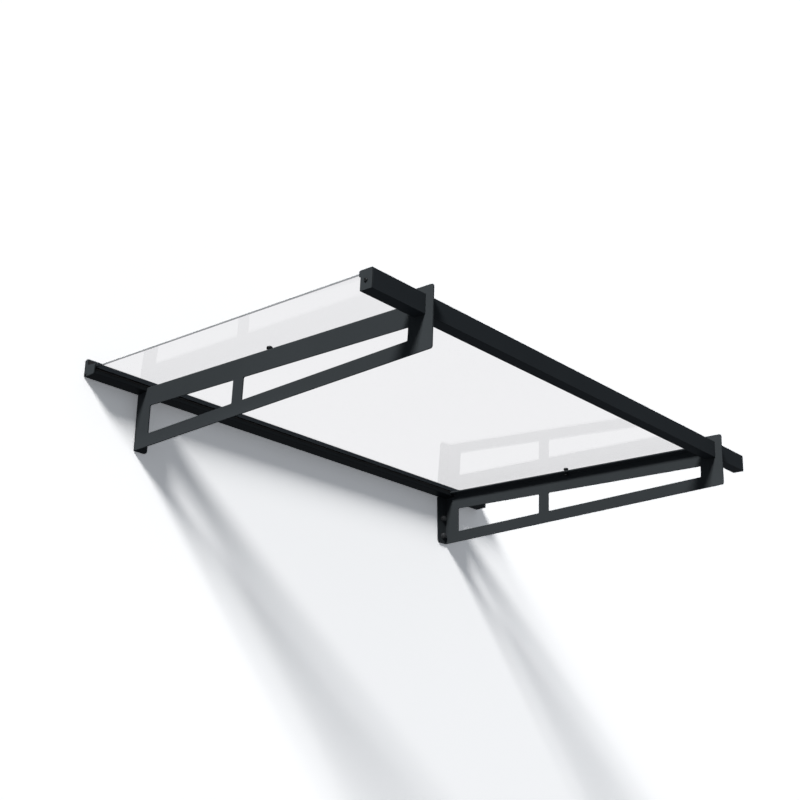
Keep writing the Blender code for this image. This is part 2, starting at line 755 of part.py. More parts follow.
def under_top_rail(depth, lean):
    """Where a leaning edge meets the underside of the arm's top rail."""
    rail = roof_point(0, ARM_TOP - TOP_RAIL)
    slope = math.tan(ROOF_PITCH)
    at_axis = rail[1] + rail[0] * slope
    slant = math.tan(lean)
    meets = (depth + slant * (at_axis - ARM_BOTTOM)) / (1 + slant * slope)
    return meets, at_axis - slope * meets


def window(rear, rear_lean, front, front_lean):
    """A window through an arm between two leaning edges, above the bottom rail."""
    corners = [
        leaning(rear, rear_lean, BOTTOM_RAIL),
        leaning(front, front_lean, BOTTOM_RAIL),
        under_top_rail(front, front_lean),
        under_top_rail(rear, rear_lean),
    ]
    return rounded([(corner, WINDOW_RADIUS) for corner in corners])


def arm_foot_reach():
    """The depth of the arm's front edge at its bottom, under the leaning edge from the ear."""
    ear_depth, ear_height = roof_point(BAR_REACH + EAR_AHEAD_OF_BAR, EAR_TOP)
    return ear_depth - math.tan(ARM_FRONT_LEAN) * (ear_height - ARM_BOTTOM)


def arm_outline():
    """The arm's sheet laid flat: web, ear round the bar, rear flange and top flange."""
    rear_edge = Fold.outside - Fold.flat_reach(ARM_REAR_FLANGE)
    top_edge = TOP_BEND + Fold.flat_reach(ARM_TOP_FLANGE)
    notch_front = BAR_REACH + BAR_PLAY
    notch_rear = BAR_REAR - BAR_PLAY
    notch_top = BAR_TOP + BAR_PLAY
    notch_bottom = BAR_BOTTOM - BAR_PLAY
    relief = TOP_BEND - BEND_RELIEF
    return rounded(
        [
            ((rear_edge, ARM_BOTTOM), FLANGE_FOOT_RADIUS),
            ((arm_foot_reach(), ARM_BOTTOM), ARM_CORNER_RADIUS),
            (roof_point(BAR_REACH + EAR_AHEAD_OF_BAR, EAR_TOP), ARM_CORNER_RADIUS),
            (roof_point(BAR_REAR, EAR_TOP), EAR_REAR_RADIUS),
            (roof_point(BAR_REAR, notch_top), 0),
            (roof_point(notch_front, notch_top), BAR_EDGE_RADIUS),
            (roof_point(notch_front, notch_bottom), BAR_EDGE_RADIUS),
            (roof_point(notch_rear, notch_bottom), BAR_EDGE_RADIUS),
            (roof_point(notch_rear, relief), 0),
            (roof_point(TOP_FLANGE_FRONT, relief), 0),
            (roof_point(TOP_FLANGE_FRONT, top_edge), FLANGE_END_RADIUS),
            (roof_point(TOP_FLANGE_REAR, top_edge), FLANGE_END_RADIUS),
            ((roof_point(TOP_FLANGE_REAR, TOP_BEND)[0], ARM_REAR_TOP), 0),
            ((rear_edge, ARM_REAR_TOP), FLANGE_END_RADIUS),
        ]
    )


def arm_holes():
    """The arm's two windows and its screw holes, on the flat sheet."""
    half_mullion = MULLION_WIDTH / 2
    front = arm_foot_reach() - FRONT_STILE
    screw_depth = Fold.outside - Fold.flat_reach(ARM_SCREW_INSET)
    bolt_rise = TOP_BEND + Fold.flat_reach(PANEL_BOLT_INSET)
    screw_hole = ARM_SCREW_RADIUS + SCREW_PLAY
    bolt_hole = circle(roof_point(PANEL_BOLT_REACH, bolt_rise), PANEL_BOLT_RADIUS + SCREW_PLAY)
    screw_holes = [circle((screw_depth, height), screw_hole) for height in ARM_SCREW_HEIGHTS.values()]
    return [
        window(REAR_STILE, REAR_STILE_LEAN, MULLION_REACH - half_mullion, MULLION_LEAN),
        window(MULLION_REACH + half_mullion, MULLION_LEAN, front, FRONT_STILE_LEAN),
        bolt_hole,
        *screw_holes,
    ]


def folded(point, sign):
    """Where a corner of the flat sheet lands once both flanges are folded inwards."""
    depth, height, inward = point
    along, above = roof_place(depth, height)
    if depth < Fold.outside:
        across, forward = Fold.bend(Fold.outside - depth, inward)
        depth = Fold.outside - forward
        inward = across
    elif above > TOP_BEND and along < TOP_FLANGE_FRONT + BAR_PLAY:
        across, rise = Fold.bend(above - TOP_BEND, inward)
        depth, height = roof_point(along, TOP_BEND + rise)
        inward = across
    return on_wall_axes(sign * (ARM_OUTER - inward), depth, height)


def score(mesh, point, normal):
    """Cuts the mesh's faces along a plane, so that a bend can follow."""
    parts = mesh.verts[:] + mesh.edges[:] + mesh.faces[:]
    bmesh.ops.bisect_plane(mesh, geom=parts, dist=1e-6, plane_co=point, plane_no=normal)


def make_arm(side, sign):
    sheet = filled_prism(
        [arm_outline(), *arm_holes()],
        lambda point: Vector((*point, 0)),
        Vector((0, 0, ARM_SHEET)),
    )
    roof_normal = Vector((math.sin(ROOF_PITCH), math.cos(ROOF_PITCH), 0))
    for step in range(ARM_BEND_STEPS + 1):
        past = Fold.flat_length * step / ARM_BEND_STEPS
        score(sheet, Vector((Fold.outside - past, 0, 0)), Vector((1, 0, 0)))
        score(sheet, Vector((*roof_point(0, TOP_BEND + past), 0)), roof_normal)
    for corner in sheet.verts:
        corner.co = folded(corner.co, sign)
    sheet.normal_update()
    bmesh.ops.recalc_face_normals(sheet, faces=sheet.faces[:])
    add_piece(side + "_arm", sheet, "anthracite_arm", smooth=True)


def make_arm_wall_screws(side, sign):
    """The coach screws through an arm's rear flange, each on a washer."""
    x = sign * (ARM_OUTER - ARM_SCREW_INSET)
    washer_seat = ARM_SHEET + CONTACT_GAP
    head_seat = washer_seat + ARM_WASHER_THICKNESS + CONTACT_GAP
    for level, height in ARM_SCREW_HEIGHTS.items():
        washer(
            f"{side}_arm_washer_{level}",
            on_wall_axes(x, washer_seat, height),
            (0, -1, 0),
            ARM_SCREW_RADIUS + BORE_GAP,
            ARM_WASHER_RADIUS,
            ARM_WASHER_THICKNESS,
            "black_screw",
        )
        profile = hexagon_head(ARM_SCREW_FLATS, ARM_SCREW_HEAD)
        profile += pointed_shank(ARM_SCREW_RADIUS, ARM_SCREW_LENGTH)
        place = on_wall_axes(x, head_seat, height)
        turned(f"{side}_arm_wall_screw_{level}", profile, place, (0, -1, 0), "black_screw")


def make_panel_bolt(side, sign):
    """The bolt that holds the panel down to an arm's top flange, with its seal, spacer, washer and nut."""
    x, along = bolt_place(sign)
    up = on_wall_axes(0, math.sin(ROOF_PITCH), math.cos(ROOF_PITCH))

    def on_axis(above):
        return on_wall_axes(x, *roof_point(along, above))

    bore = PANEL_BOLT_RADIUS + BORE_GAP
    seal_foot = PANEL_THICKNESS + CONTACT_GAP
    head_foot = seal_foot + BOLT_SEAL_THICKNESS + CONTACT_GAP
    flange_under = ARM_TOP - ARM_SHEET
    washer_foot = flange_under - CONTACT_GAP - BOLT_WASHER_THICKNESS
    nut_foot = washer_foot - CONTACT_GAP - NUT_HEIGHT
    washer(
        side + "_bolt_seal",
        on_axis(seal_foot),
        up,
        bore,
        PANEL_BOLT_HEAD_RADIUS,
        BOLT_SEAL_THICKNESS,
        "black_rubber",
    )
    washer(
        side + "_panel_spacer",
        on_axis(ARM_TOP + CONTACT_GAP),
        up,
        bore,
        SPACER_RADIUS,
        ARM_STANDOFF - 2 * CONTACT_GAP,
        "black_rubber",
    )
    washer(
        side + "_bolt_washer",
        on_axis(washer_foot),
        up,
        bore,
        BOLT_WASHER_RADIUS,
        BOLT_WASHER_THICKNESS,
        "black_screw",
    )
    nut = [
        (0, bore, False),
        (0, NUT_FLATS / 2, True),
        (NUT_HEIGHT, NUT_FLATS / 2, True),
        (NUT_HEIGHT, bore, False),
    ]
    turned(side + "_bolt_nut", nut, on_axis(nut_foot), up, "black_screw")
    tail = head_foot - nut_foot + PANEL_BOLT_TAIL
    profile = domed_head(PANEL_BOLT_HEAD_RADIUS, PANEL_BOLT_HEAD, PANEL_BOLT_HEAD_RADIUS * 0.32)
    profile += [(0, PANEL_BOLT_RADIUS, False), (-tail, PANEL_BOLT_RADIUS, False), (-tail, 0, False)]
    turned(side + "_panel_bolt", profile, on_axis(head_foot), up, "black_screw")


def main():
    for old in list(bpy.data.objects):
        bpy.data.objects.remove(old, do_unlink=True)
    make_wall_profile()
    make_wall_seal()
    make_rear_gaskets()
    make_hood_plugs()
    make_profile_caps()
    make_profile_wall_screws()
    make_roof_panel()
    make_front_bar()
    make_front_gaskets()
    make_bar_caps()
    for side, sign in SIDES.items():
        make_arm(side, sign)
        make_arm_wall_screws(side, sign)
        make_panel_bolt(side, sign)


main()
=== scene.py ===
"""A door awning in a pale studio: a clear sheet between a wall profile and a front bar, on folded arms."""

import math

import bmesh
import bpy
from mathutils import Euler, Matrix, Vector


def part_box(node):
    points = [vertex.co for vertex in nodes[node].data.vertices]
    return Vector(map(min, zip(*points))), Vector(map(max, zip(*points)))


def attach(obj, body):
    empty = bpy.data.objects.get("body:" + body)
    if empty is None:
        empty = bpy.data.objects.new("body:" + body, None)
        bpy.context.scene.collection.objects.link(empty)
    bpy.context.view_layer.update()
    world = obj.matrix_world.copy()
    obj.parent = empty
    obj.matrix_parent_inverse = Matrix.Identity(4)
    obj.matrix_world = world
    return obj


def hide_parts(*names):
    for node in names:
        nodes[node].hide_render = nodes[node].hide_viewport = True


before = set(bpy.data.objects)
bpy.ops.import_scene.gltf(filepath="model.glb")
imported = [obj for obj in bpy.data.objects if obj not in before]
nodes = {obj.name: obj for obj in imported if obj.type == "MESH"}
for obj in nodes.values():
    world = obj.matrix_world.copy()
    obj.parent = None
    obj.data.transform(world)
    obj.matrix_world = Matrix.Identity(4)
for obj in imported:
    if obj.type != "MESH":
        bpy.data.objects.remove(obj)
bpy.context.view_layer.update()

# All lengths are in metres
SIDES = {"left": -1, "right": 1}
TOWARDS_ROOM = Vector((0, -1, 0))
WHITE = (1.0, 1.0, 1.0)

# The photograph's camera
CAMERA_PLACE = (-2.1416, -2.1996, -1.0580)
CAMERA_TURN = (math.radians(111.192), 0.0, math.radians(-48.618))
CAMERA_LENS = 55.89
SENSOR_WIDTH = 36.0
CAMERA_SIGHT = 100.0

# Light: a key lamp from the upper left, a fill from behind on the right, and the world all round
KEY_DIRECTION = (2.70, 0.98, -2.50)
KEY_STRENGTH = 3.1
KEY_SPREAD = math.radians(14)
FILL_DIRECTION = (-1.0, -1.1, -0.8)
FILL_STRENGTH = 0.9
FILL_SPREAD = math.radians(40)
AMBIENT = (0.100, 0.108, 0.119)

# Stage
FLOOR_HEIGHT = -2.2
FLOOR_REACH = 14.0
WALL_BEHIND = 0.0008
WALL_WIDTH = 16.0
WALL_TOP = 6.0
WALL_PALE = (2.62, 2.60, 2.58)
WALL_HAZE = 0.092
FLOOR_PALE = (1.12, 1.12, 1.12)

# Sizes of the solids that the dressed pieces keep
ROOF_PITCH = math.radians(2.95)
ROOF_UP = Vector((0, -math.sin(ROOF_PITCH), math.cos(ROOF_PITCH)))
PANEL_HEIGHT_AT_WALL = -0.0059
PANEL_THICKNESS = 0.004
CONTACT_GAP = 0.0003
BAR_REACH = 0.8653
BAR_DEPTH = 0.0286
BAR_REAR = BAR_REACH - BAR_DEPTH

# Eased edges: flat areas are told apart from FLAT_ANGLE on, those under FLAT_WIDTH are shaded round, edges
# over EASED_ANGLE are rounded, and what still turns by more than CREASE_ANGLE is shown as a crease
FLAT_ANGLE = math.radians(0.3)
FLAT_WIDTH = 0.0018
EASED_ANGLE = math.radians(40)
CREASE_ANGLE = math.radians(50)
ARM_EASE = 0.0002
BAR_EASE = 0.0002
PROFILE_EASE = 0.0003
SHEET_EASE = 0.0003
MOULDED_EASE = 0.0004
MERGE_DISTANCE = 1e-6

# Screws: the thread, the plain length below the head, the point, and the head's height with its width
# across the flats, or with the radii of its dome and its socket
ARM_SCREW = {"radius": 0.004, "pitch": 0.0036, "depth": 0.0009, "plain": 0.022, "point": 0.010}
ARM_SCREW_HEAD = {"height": 0.0055, "flats": 0.013}
PROFILE_SCREW = {"radius": 0.003, "pitch": 0.0026, "depth": 0.0007, "plain": 0.003, "point": 0.0075}
PROFILE_SCREW_HEAD = {"height": 0.0032, "radius": 0.0055, "socket_radius": 0.0022}
CAP_SCREW = {"radius": 0.0016, "pitch": 0.0012, "depth": 0.0004, "plain": 0.003, "point": 0.004}
CAP_SCREW_HEADS = {
    "profile": {"height": 0.0022, "radius": 0.0033},
    "bar": {"height": 0.0026, "radius": 0.0042},
}
CAP_SOCKET_SHARE = 0.42
PANEL_BOLT = {"radius": 0.003, "pitch": 0.001, "depth": 0.0004, "plain": 0.004, "point": 0.0008}
PANEL_BOLT_HEAD = {"height": 0.0040, "radius": 0.0065, "socket_radius": 0.0021}
PROFILE_SCREW_COUNT = 4
NUT_FLATS = 0.010
NUT_HEIGHT = 0.005
COUNTERSINK = 0.0005
SEAL_THICKNESS = 0.0015
SPACER_THICKNESS = 0.0018
BOLT_WASHER_THICKNESS = 0.0016
METAL_RING_EASE = 0.0002
RUBBER_RING_EASE = 0.0004

# How the threads are cut: points round the shank, rings for one turn, the size that an input has until it
# is set, and how the point narrows
SHANK_SIDES = 32
RINGS_PER_TURN = 8.0
USUAL_SIZE = 0.003
POINT_SHAPE = 0.8
POINT_TIP = 0.03
THREAD_SIZES = {
    "Radius": "radius",
    "Thread Depth": "depth",
    "Pitch": "pitch",
    "Plain Length": "plain",
    "Point Length": "point",
}

# Turned pieces: shares of half the width across flats, of the height, and of a socket's radius
ROUND_SIDES = 48
TURNED_CREASE = math.radians(35)
CHAMFER_START = 0.94
CHAMFER_GROWTH = 0.235
HEAD_CHAMFER_STEPS = 5
HEAD_CHAMFER_DROP = 0.032
NUT_CHAMFER_STEPS = 4
NUT_CHAMFER_DROP = 0.035
WASHER_FACE_WIDTH = 0.97
WASHER_FACE_HEIGHT = 0.08
SOCKET_FLOOR = 0.45
SOCKET_TIP = 0.2
SOCKET_FOOT = 0.96
SOCKET_TOP = 0.95
SOCKET_MOUTH = 1.22
DOME_RIM = 0.22
DOME_STEPS = 7
DOME_SHAPE = 0.8
DOME_EASE = 0.0002

# Rubber strips: one rib's outline as (share of its length, whether it is a valley), the rows of ribs, and
# the sizes of the strips in the front bar's slot, of which the lower one has a lip behind the bar
RIB_OUTLINE = ((0.0, 1), (0.22, 0), (0.62, 0), (0.84, 1))
SEAT_RIBS = {"ribs": 2, "depth": 0.0004}
SHEET_RIBS = {"ribs": 3, "depth": 0.0006}
SLOT_RIBS = {"ribs": 3, "depth": 0.0005}
STRIP_CREASE = math.radians(40)
SLOT_FLOOR = -0.0039
SLOT_SEAT = 0.011
LIP_DEPTH = 0.0031
LIP_DROP = 0.0013
LIP_ROUND = 0.0009
LIP_CHAMFER = (0.0008, 0.0009)
STEM_SHIFT = 0.0004
SLOT_STRIP_HEIGHT = 0.0015
SLOT_STRIP_EASE = 0.0003

# Finishes
ARM_GREY = (0.059, 0.067, 0.072)
PROFILE_GREY = (0.040, 0.047, 0.053)
# Painted light on the wall profile's hood and painted shade on its box face below the sheet, as shares of the
# coat's grey
HOOD_PAINTED_LIGHT = 1.45
BOX_PAINTED_SHADE = 0.5
CAP_GREY = (0.055, 0.063, 0.068)
RUBBER_BLACK = (0.012, 0.012, 0.013)
STEEL_BLACK = (0.030, 0.033, 0.035)
# A lighter grey for the coach screws: painted sheen that stands in for highlights on their heads in shade
STEEL_GREY_PAINTED_SHEEN = (0.120, 0.124, 0.128)
BARE_STEEL = (0.28, 0.28, 0.28)
DUST = (0.30, 0.29, 0.27)
RUBBER_DUST = (0.22, 0.21, 0.20)
COAT_SPECULAR = 0.10
COAT_DUST = 0.12
PLASTIC_SPECULAR = 0.12
RUBBER_SPECULAR = 0.3
SHEET_TINT = (0.862, 0.863, 0.880)
SHEET_BEND = 1.12
SAWN_EDGE_COLOUR = (0.10, 0.105, 0.11)
SAWN_EDGE_ROUGHNESS = 0.5
SHEET_SHADE = (0.88, 0.88, 0.88)
SHEET_SHADOW = (0.90, 0.90, 0.90)


def centre_of(node):
    """The middle of a solid's box."""
    low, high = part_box(node)
    return (low + high) / 2


def placed(name, data):
    """A new object at the scene's origin."""
    made = bpy.data.objects.new(name, data)
    bpy.context.scene.collection.objects.link(made)
    return made


def add_piece(name, mesh, material, replaced):
    """A finished piece in the scene that stands for the solids it replaces."""
    piece = placed(name, mesh)
    mesh.materials.clear()
    mesh.materials.append(material)
    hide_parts(*replaced)
    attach(piece, "root")


# Node trees


def socket(tree, name, kind, in_out="INPUT", default=None):
    """A named input or output of a tree."""
    item = tree.interface.new_socket(name, in_out=in_out, socket_type=kind)
    if default is not None:
        item.default_value = default


class Wiring:
    """Adds nodes to a tree and joins them, so that a tree reads from its inputs to its output."""

    def __init__(self, tree):
        self.tree = tree

    def add(self, kind, inputs=None, **settings):
        node = self.tree.nodes.new(kind)
        for name, value in settings.items():
            setattr(node, name, value)
        for name, value in (inputs or {}).items():
            self.feed(node.inputs[name], value)
        return node

    def feed(self, target, value):
        if isinstance(value, bpy.types.NodeSocket):
            self.tree.links.new(value, target)
        else:
            target.default_value = value

    def math(self, operation, first, second=0.0, third=0.0, clamp=False):
        values = {0: first, 1: second, 2: third}
        return self.add("ShaderNodeMath", values, operation=operation, use_clamp=clamp).outputs[0]

    def mix(self, factor, first, second, data_type="RGBA"):
        # The sockets have the same names for every kind of data, so they are found by number
        node = self.add("ShaderNodeMix", data_type=data_type)
        number = {"FLOAT": (0, 2, 3, 0), "RGBA": (0, 6, 7, 2)}[data_type]
        for index, value in zip(number[:3], (factor, first, second)):
            self.feed(node.inputs[index], value)
        return node.outputs[number[3]]

    def spread(self, value, low, high, new_low, new_high):
        names = {"Value": value, "From Min": low, "From Max": high, "To Min": new_low, "To Max": new_high}
        return self.add("ShaderNodeMapRange", names).outputs["Result"]

    def noise(self, vector, scale, detail=2.0, roughness=0.5):
        inputs = {"Vector": vector, "Scale": scale, "Detail": detail, "Roughness": roughness}
        return self.add("ShaderNodeTexNoise", inputs).outputs["Fac"]

    def group(self, tree, inputs):
        return self.add("ShaderNodeGroup", inputs, node_tree=tree).outputs

    def bump(self, shader, height, strength, distance):
        relief = self.add("ShaderNodeBump", {"Height": height, "Strength": strength, "Distance": distance})
        self.feed(shader.inputs["Normal"], relief.outputs[0])


# Screws and what goes with them


def thread_tree():
    """A screw's shank from its head at the origin down to its point, with a real helical thread."""
    tree = bpy.data.node_groups.new("threaded_shank", "GeometryNodeTree")
    for name in (*THREAD_SIZES, "Length"):
        socket(tree, name, "NodeSocketFloat", default=USUAL_SIZE)
    socket(tree, "Shank", "NodeSocketGeometry", "OUTPUT")
    wire = Wiring(tree)
    sizes = wire.add("NodeGroupInput").outputs
    turns = wire.math("DIVIDE", sizes["Length"], sizes["Pitch"])
    rings = wire.add("FunctionNodeFloatToInt", {0: wire.math("MULTIPLY", turns, RINGS_PER_TURN)})
    rod = wire.add(
        "GeometryNodeMeshCylinder",
        {"Vertices": SHANK_SIDES, "Side Segments": rings.outputs[0], "Radius": 1.0, "Depth": sizes["Length"]},
    )
    spot = wire.add("ShaderNodeSeparateXYZ", {0: wire.add("GeometryNodeInputPosition").outputs[0]}).outputs
    half = wire.math("MULTIPLY", sizes["Length"], 0.5)
    drop = wire.math("SUBTRACT", half, spot["Z"])
    turn = wire.math("DIVIDE", wire.math("ARCTAN2", spot["Y"], spot["X"]), 2 * math.pi)
    winding = wire.math("FRACT", wire.math("ADD", wire.math("DIVIDE", drop, sizes["Pitch"]), turn))
    from_crest = wire.math("ABSOLUTE", wire.math("MULTIPLY_ADD", winding, 2.0, -1.0))
    past_plain = wire.math("SUBTRACT", drop, sizes["Plain Length"])
    cut_in = wire.math("DIVIDE", past_plain, sizes["Pitch"], clamp=True)
    valley = wire.math("MULTIPLY", from_crest, sizes["Thread Depth"])
    reach = wire.math("SUBTRACT", sizes["Radius"], wire.math("MULTIPLY", valley, cut_in))
    left_over = wire.math("SUBTRACT", sizes["Length"], drop)
    to_point = wire.math("DIVIDE", left_over, sizes["Point Length"], clamp=True)
    taper = wire.math("MAXIMUM", wire.math("POWER", to_point, POINT_SHAPE), POINT_TIP)
    width = wire.math("MULTIPLY", reach, taper)
    place = wire.add(
        "ShaderNodeCombineXYZ",
        {
            "X": wire.math("MULTIPLY", spot["X"], width),
            "Y": wire.math("MULTIPLY", spot["Y"], width),
            "Z": wire.math("MULTIPLY", drop, -1.0),
        },
    )
    shaped = wire.add(
        "GeometryNodeSetPosition",
        {"Geometry": rod.outputs["Mesh"], "Position": place.outputs[0]},
    )
    smooth = wire.add("GeometryNodeSetShadeSmooth", {"Geometry": shaped.outputs[0]})
    wire.add("NodeGroupOutput", {"Shank": smooth.outputs[0]})
    return tree


def set_tree(name, shank=None):
    """Puts a turned piece, and a threaded shank where one is given, on each point of the incoming mesh."""
    tree = bpy.data.node_groups.new(name, "GeometryNodeTree")
    socket(tree, "Places", "NodeSocketGeometry")
    socket(tree, "Turned Piece", "NodeSocketObject")
    socket(tree, "Facing", "NodeSocketRotation")
    socket(tree, "Finish", "NodeSocketMaterial")
    sizes = (*THREAD_SIZES, "Length") if shank else ()
    for size in sizes:
        socket(tree, size, "NodeSocketFloat", default=USUAL_SIZE)
    socket(tree, "Set", "NodeSocketGeometry", "OUTPUT")
    wire = Wiring(tree)
    given = wire.add("NodeGroupInput").outputs
    piece = wire.add("GeometryNodeObjectInfo", {"Object": given["Turned Piece"]}).outputs["Geometry"]
    if shank:
        rod = wire.add("GeometryNodeGroup", {size: given[size] for size in sizes}, node_tree=shank)
        joined = wire.add("GeometryNodeJoinGeometry")
        wire.feed(joined.inputs[0], rod.outputs[0])
        wire.feed(joined.inputs[0], piece)
        piece = joined.outputs[0]
    copies = wire.add(
        "GeometryNodeInstanceOnPoints",
        {"Points": given["Places"], "Instance": piece, "Rotation": given["Facing"]},
    )
    real = wire.add("GeometryNodeRealizeInstances", {"Geometry": copies.outputs[0]})
    finished = wire.add("GeometryNodeSetMaterial", {"Geometry": real.outputs[0], "Material": given["Finish"]})
    wire.add("NodeGroupOutput", {"Set": finished.outputs[0]})
    return tree


THREAD_TREE = thread_tree()
SCREWS_TREE = set_tree("set_of_screws", THREAD_TREE)
COPIES_TREE = set_tree("set_of_copies")


def run_tree(name, mesh, tree, values):
    """The plain mesh that a tree makes from a mesh, with its named inputs set."""
    holder = placed(name, mesh)
    modifier = holder.modifiers.new("made", "NODES")
    modifier.node_group = tree
    for item in tree.interface.items_tree:
        if item.in_out == "INPUT" and item.name in values:
            modifier[item.identifier] = values[item.name]
    bpy.context.view_layer.update()
    made = bpy.data.meshes.new_from_object(holder.evaluated_get(bpy.context.evaluated_depsgraph_get()))
    bpy.data.objects.remove(holder)
    made.name = name
    return made


def turned_mesh(name, rings):
    """A closed mesh turned about Z from (height, reach) rings, where a reach may depend on the angle."""
    mesh = bmesh.new()
    loops = []
    for height, reach in rings:
        if reach == 0:
            loops.append([mesh.verts.new((0, 0, height))])
            continue
        loop = []
        for step in range(ROUND_SIDES):
            angle = 2 * math.pi * step / ROUND_SIDES
            out = reach(angle) if callable(reach) else reach
            loop.append(mesh.verts.new((out * math.cos(angle), out * math.sin(angle), height)))
        loops.append(loop)
    pairs = list(zip(loops, loops[1:]))
    if rings[0][1] != 0:
        pairs.append((loops[-1], loops[0]))
    for first, second in pairs:
        for step in range(ROUND_SIDES):
            after = (step + 1) % ROUND_SIDES
            corners = [first[step % len(first)], first[after % len(first)]]
            corners += [second[after % len(second)], second[step % len(second)]]
            mesh.faces.new(list(dict.fromkeys(corners)))
    bmesh.ops.recalc_face_normals(mesh, faces=mesh.faces[:])
    data = bpy.data.meshes.new(name)
    mesh.to_mesh(data)
    mesh.free()
    data.shade_smooth()
    data.set_sharp_from_angle(angle=TURNED_CREASE)
    return data


def hexagon_reach(angle, half):
    """How far a hexagon, half its width across flats, reaches at an angle."""
    return half / math.cos(angle % (math.pi / 3) - math.pi / 6)


def chamfered_reach(half, step, steps):
    """A hexagon's reach where a cone cuts its corners back, at one step down the chamfer."""
    cone = half * (CHAMFER_START + CHAMFER_GROWTH * step / steps)
    return lambda angle: min(cone, hexagon_reach(angle, half))


def hexagon_head_rings(height, flats):
    """A hexagon head with a washer face below and a turned chamfer on its corners."""
    half = flats / 2
    face = height * WASHER_FACE_HEIGHT
    rings = [(height, 0), (height, half * CHAMFER_START)]
    for step in range(1, HEAD_CHAMFER_STEPS + 1):
        level = height * (1 - HEAD_CHAMFER_DROP * step)
        rings.append((level, chamfered_reach(half, step, HEAD_CHAMFER_STEPS)))
    rings.append((face, lambda angle: hexagon_reach(angle, half)))
    return rings + [(face, half * WASHER_FACE_WIDTH), (0, half * WASHER_FACE_WIDTH), (0, 0)]


def domed_head_rings(height, radius, socket_radius):
    """A domed head with a hexagon socket whose mouth is chamfered."""
    floor = height * SOCKET_FLOOR
    mouth = socket_radius * SOCKET_MOUTH
    rim = height * DOME_RIM
    rings = [
        (floor - socket_radius * SOCKET_TIP, 0),
        (floor, lambda angle: hexagon_reach(angle, socket_radius * SOCKET_FOOT)),
        (height * SOCKET_TOP, lambda angle: hexagon_reach(angle, socket_radius)),
        (height, mouth),
    ]
    for step in range(1, DOME_STEPS + 1):
        angle = math.pi / 2 * step / DOME_STEPS
        across = mouth + (radius - mouth) * math.sin(angle)
        rings.append((rim + (height - rim) * math.cos(angle) ** DOME_SHAPE, across))
    return rings + [(DOME_EASE, radius), (0, radius - DOME_EASE), (0, 0)]


def flat_ring_rings(inner, outer, thickness, ease):
    """A flat ring with eased edges."""
    return [
        (ease, inner),
        (0, inner + ease),
        (0, outer - ease),
        (ease, outer),
        (thickness - ease, outer),
        (thickness, outer - ease),
        (thickness, inner + ease),
        (thickness - ease, inner),
    ]


def nut_rings(bore, flats, height):
    """A hexagon nut, chamfered above and below, with a threaded bore's countersinks."""
    half = flats / 2
    lower = [(COUNTERSINK, bore), (0, bore + COUNTERSINK), (0, half * CHAMFER_START)]
    for step in range(1, NUT_CHAMFER_STEPS + 1):
        lower.append((height * NUT_CHAMFER_DROP * step, chamfered_reach(half, step, NUT_CHAMFER_STEPS)))
    return lower + [(height - level, reach) for level, reach in reversed(lower)]


def points_mesh(places):
    """A mesh with one loose point at each place."""
    mesh = bpy.data.meshes.new("places")
    mesh.from_pydata([tuple(place) for place in places], [], [])
    return mesh


def fastener_set(
    name, replaced, rings, places, direction, material, screw=None, length=0.0
):
    """One piece made of equal turned copies, each with its seat at a place and its head towards direction."""
    turned_piece = placed(name + "_one", turned_mesh(name + "_one", rings))
    values = {
        "Turned Piece": turned_piece,
        "Facing": Vector(direction).to_track_quat("Z", "Y").to_euler(),
        "Finish": material,
        "Length": length,
    }
    if screw:
        values |= {size: screw[key] for size, key in THREAD_SIZES.items()}
    tree = SCREWS_TREE if screw else COPIES_TREE
    made = run_tree(name, points_mesh(places), tree, values)
    bpy.data.objects.remove(turned_piece)
    add_piece(name, made, material, replaced)


def dress_wall_screws(name, screws, head, rings, screw, metal):
    """Screws that go straight into the wall, with their heads towards the room."""
    low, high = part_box(screws[0])
    seat = low.y + head["height"]
    places = [Vector((centre_of(node).x, seat, centre_of(node).z)) for node in screws]
    fastener_set(name, screws, rings, places, TOWARDS_ROOM, metal, screw=screw, length=high.y - seat)


def dress_rings(name, rings, screw, thickness, direction, material, slot="black_screw", ease=METAL_RING_EASE):
    """Flat rings on a screw, with the outer size and thickness of the solids they replace."""
    low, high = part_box(rings[0])
    outer = (high.x - low.x) / 2
    places = [centre_of(ring) - Vector(direction) * thickness / 2 for ring in rings]
    made = flat_ring_rings(screw["radius"] + CONTACT_GAP, outer, thickness, ease)
    fastener_set(name, rings, made, places, direction, material)


def dress_wall_washers(name, washers, screw, metal):
    """The washers under the heads of screws in the wall."""
    low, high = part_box(washers[0])
    dress_rings(name, washers, screw, high.y - low.y, TOWARDS_ROOM, metal)


def dress_arm_screws(metal):
    """The coach screws in the arms' rear flanges, and their washers."""
    spots = [(side, level) for side in SIDES for level in ("lower", "upper")]
    screws = [f"{side}_arm_wall_screw_{level}" for side, level in spots]
    rings = hexagon_head_rings(**ARM_SCREW_HEAD)
    dress_wall_screws("arm_coach_screws", screws, ARM_SCREW_HEAD, rings, ARM_SCREW, metal)
    washers = [f"{side}_arm_washer_{level}" for side, level in spots]
    dress_wall_washers("arm_washers", washers, ARM_SCREW, metal)


def dress_profile_screws(metal):
    """The screws inside the wall profile, and their washers."""
    numbers = range(1, PROFILE_SCREW_COUNT + 1)
    screws = [f"profile_wall_screw_{number}" for number in numbers]
    rings = domed_head_rings(**PROFILE_SCREW_HEAD)
    dress_wall_screws("profile_wall_screws", screws, PROFILE_SCREW_HEAD, rings, PROFILE_SCREW, metal)
    washers = [f"profile_washer_{number}" for number in numbers]
    dress_wall_washers("profile_washers", washers, PROFILE_SCREW, metal)


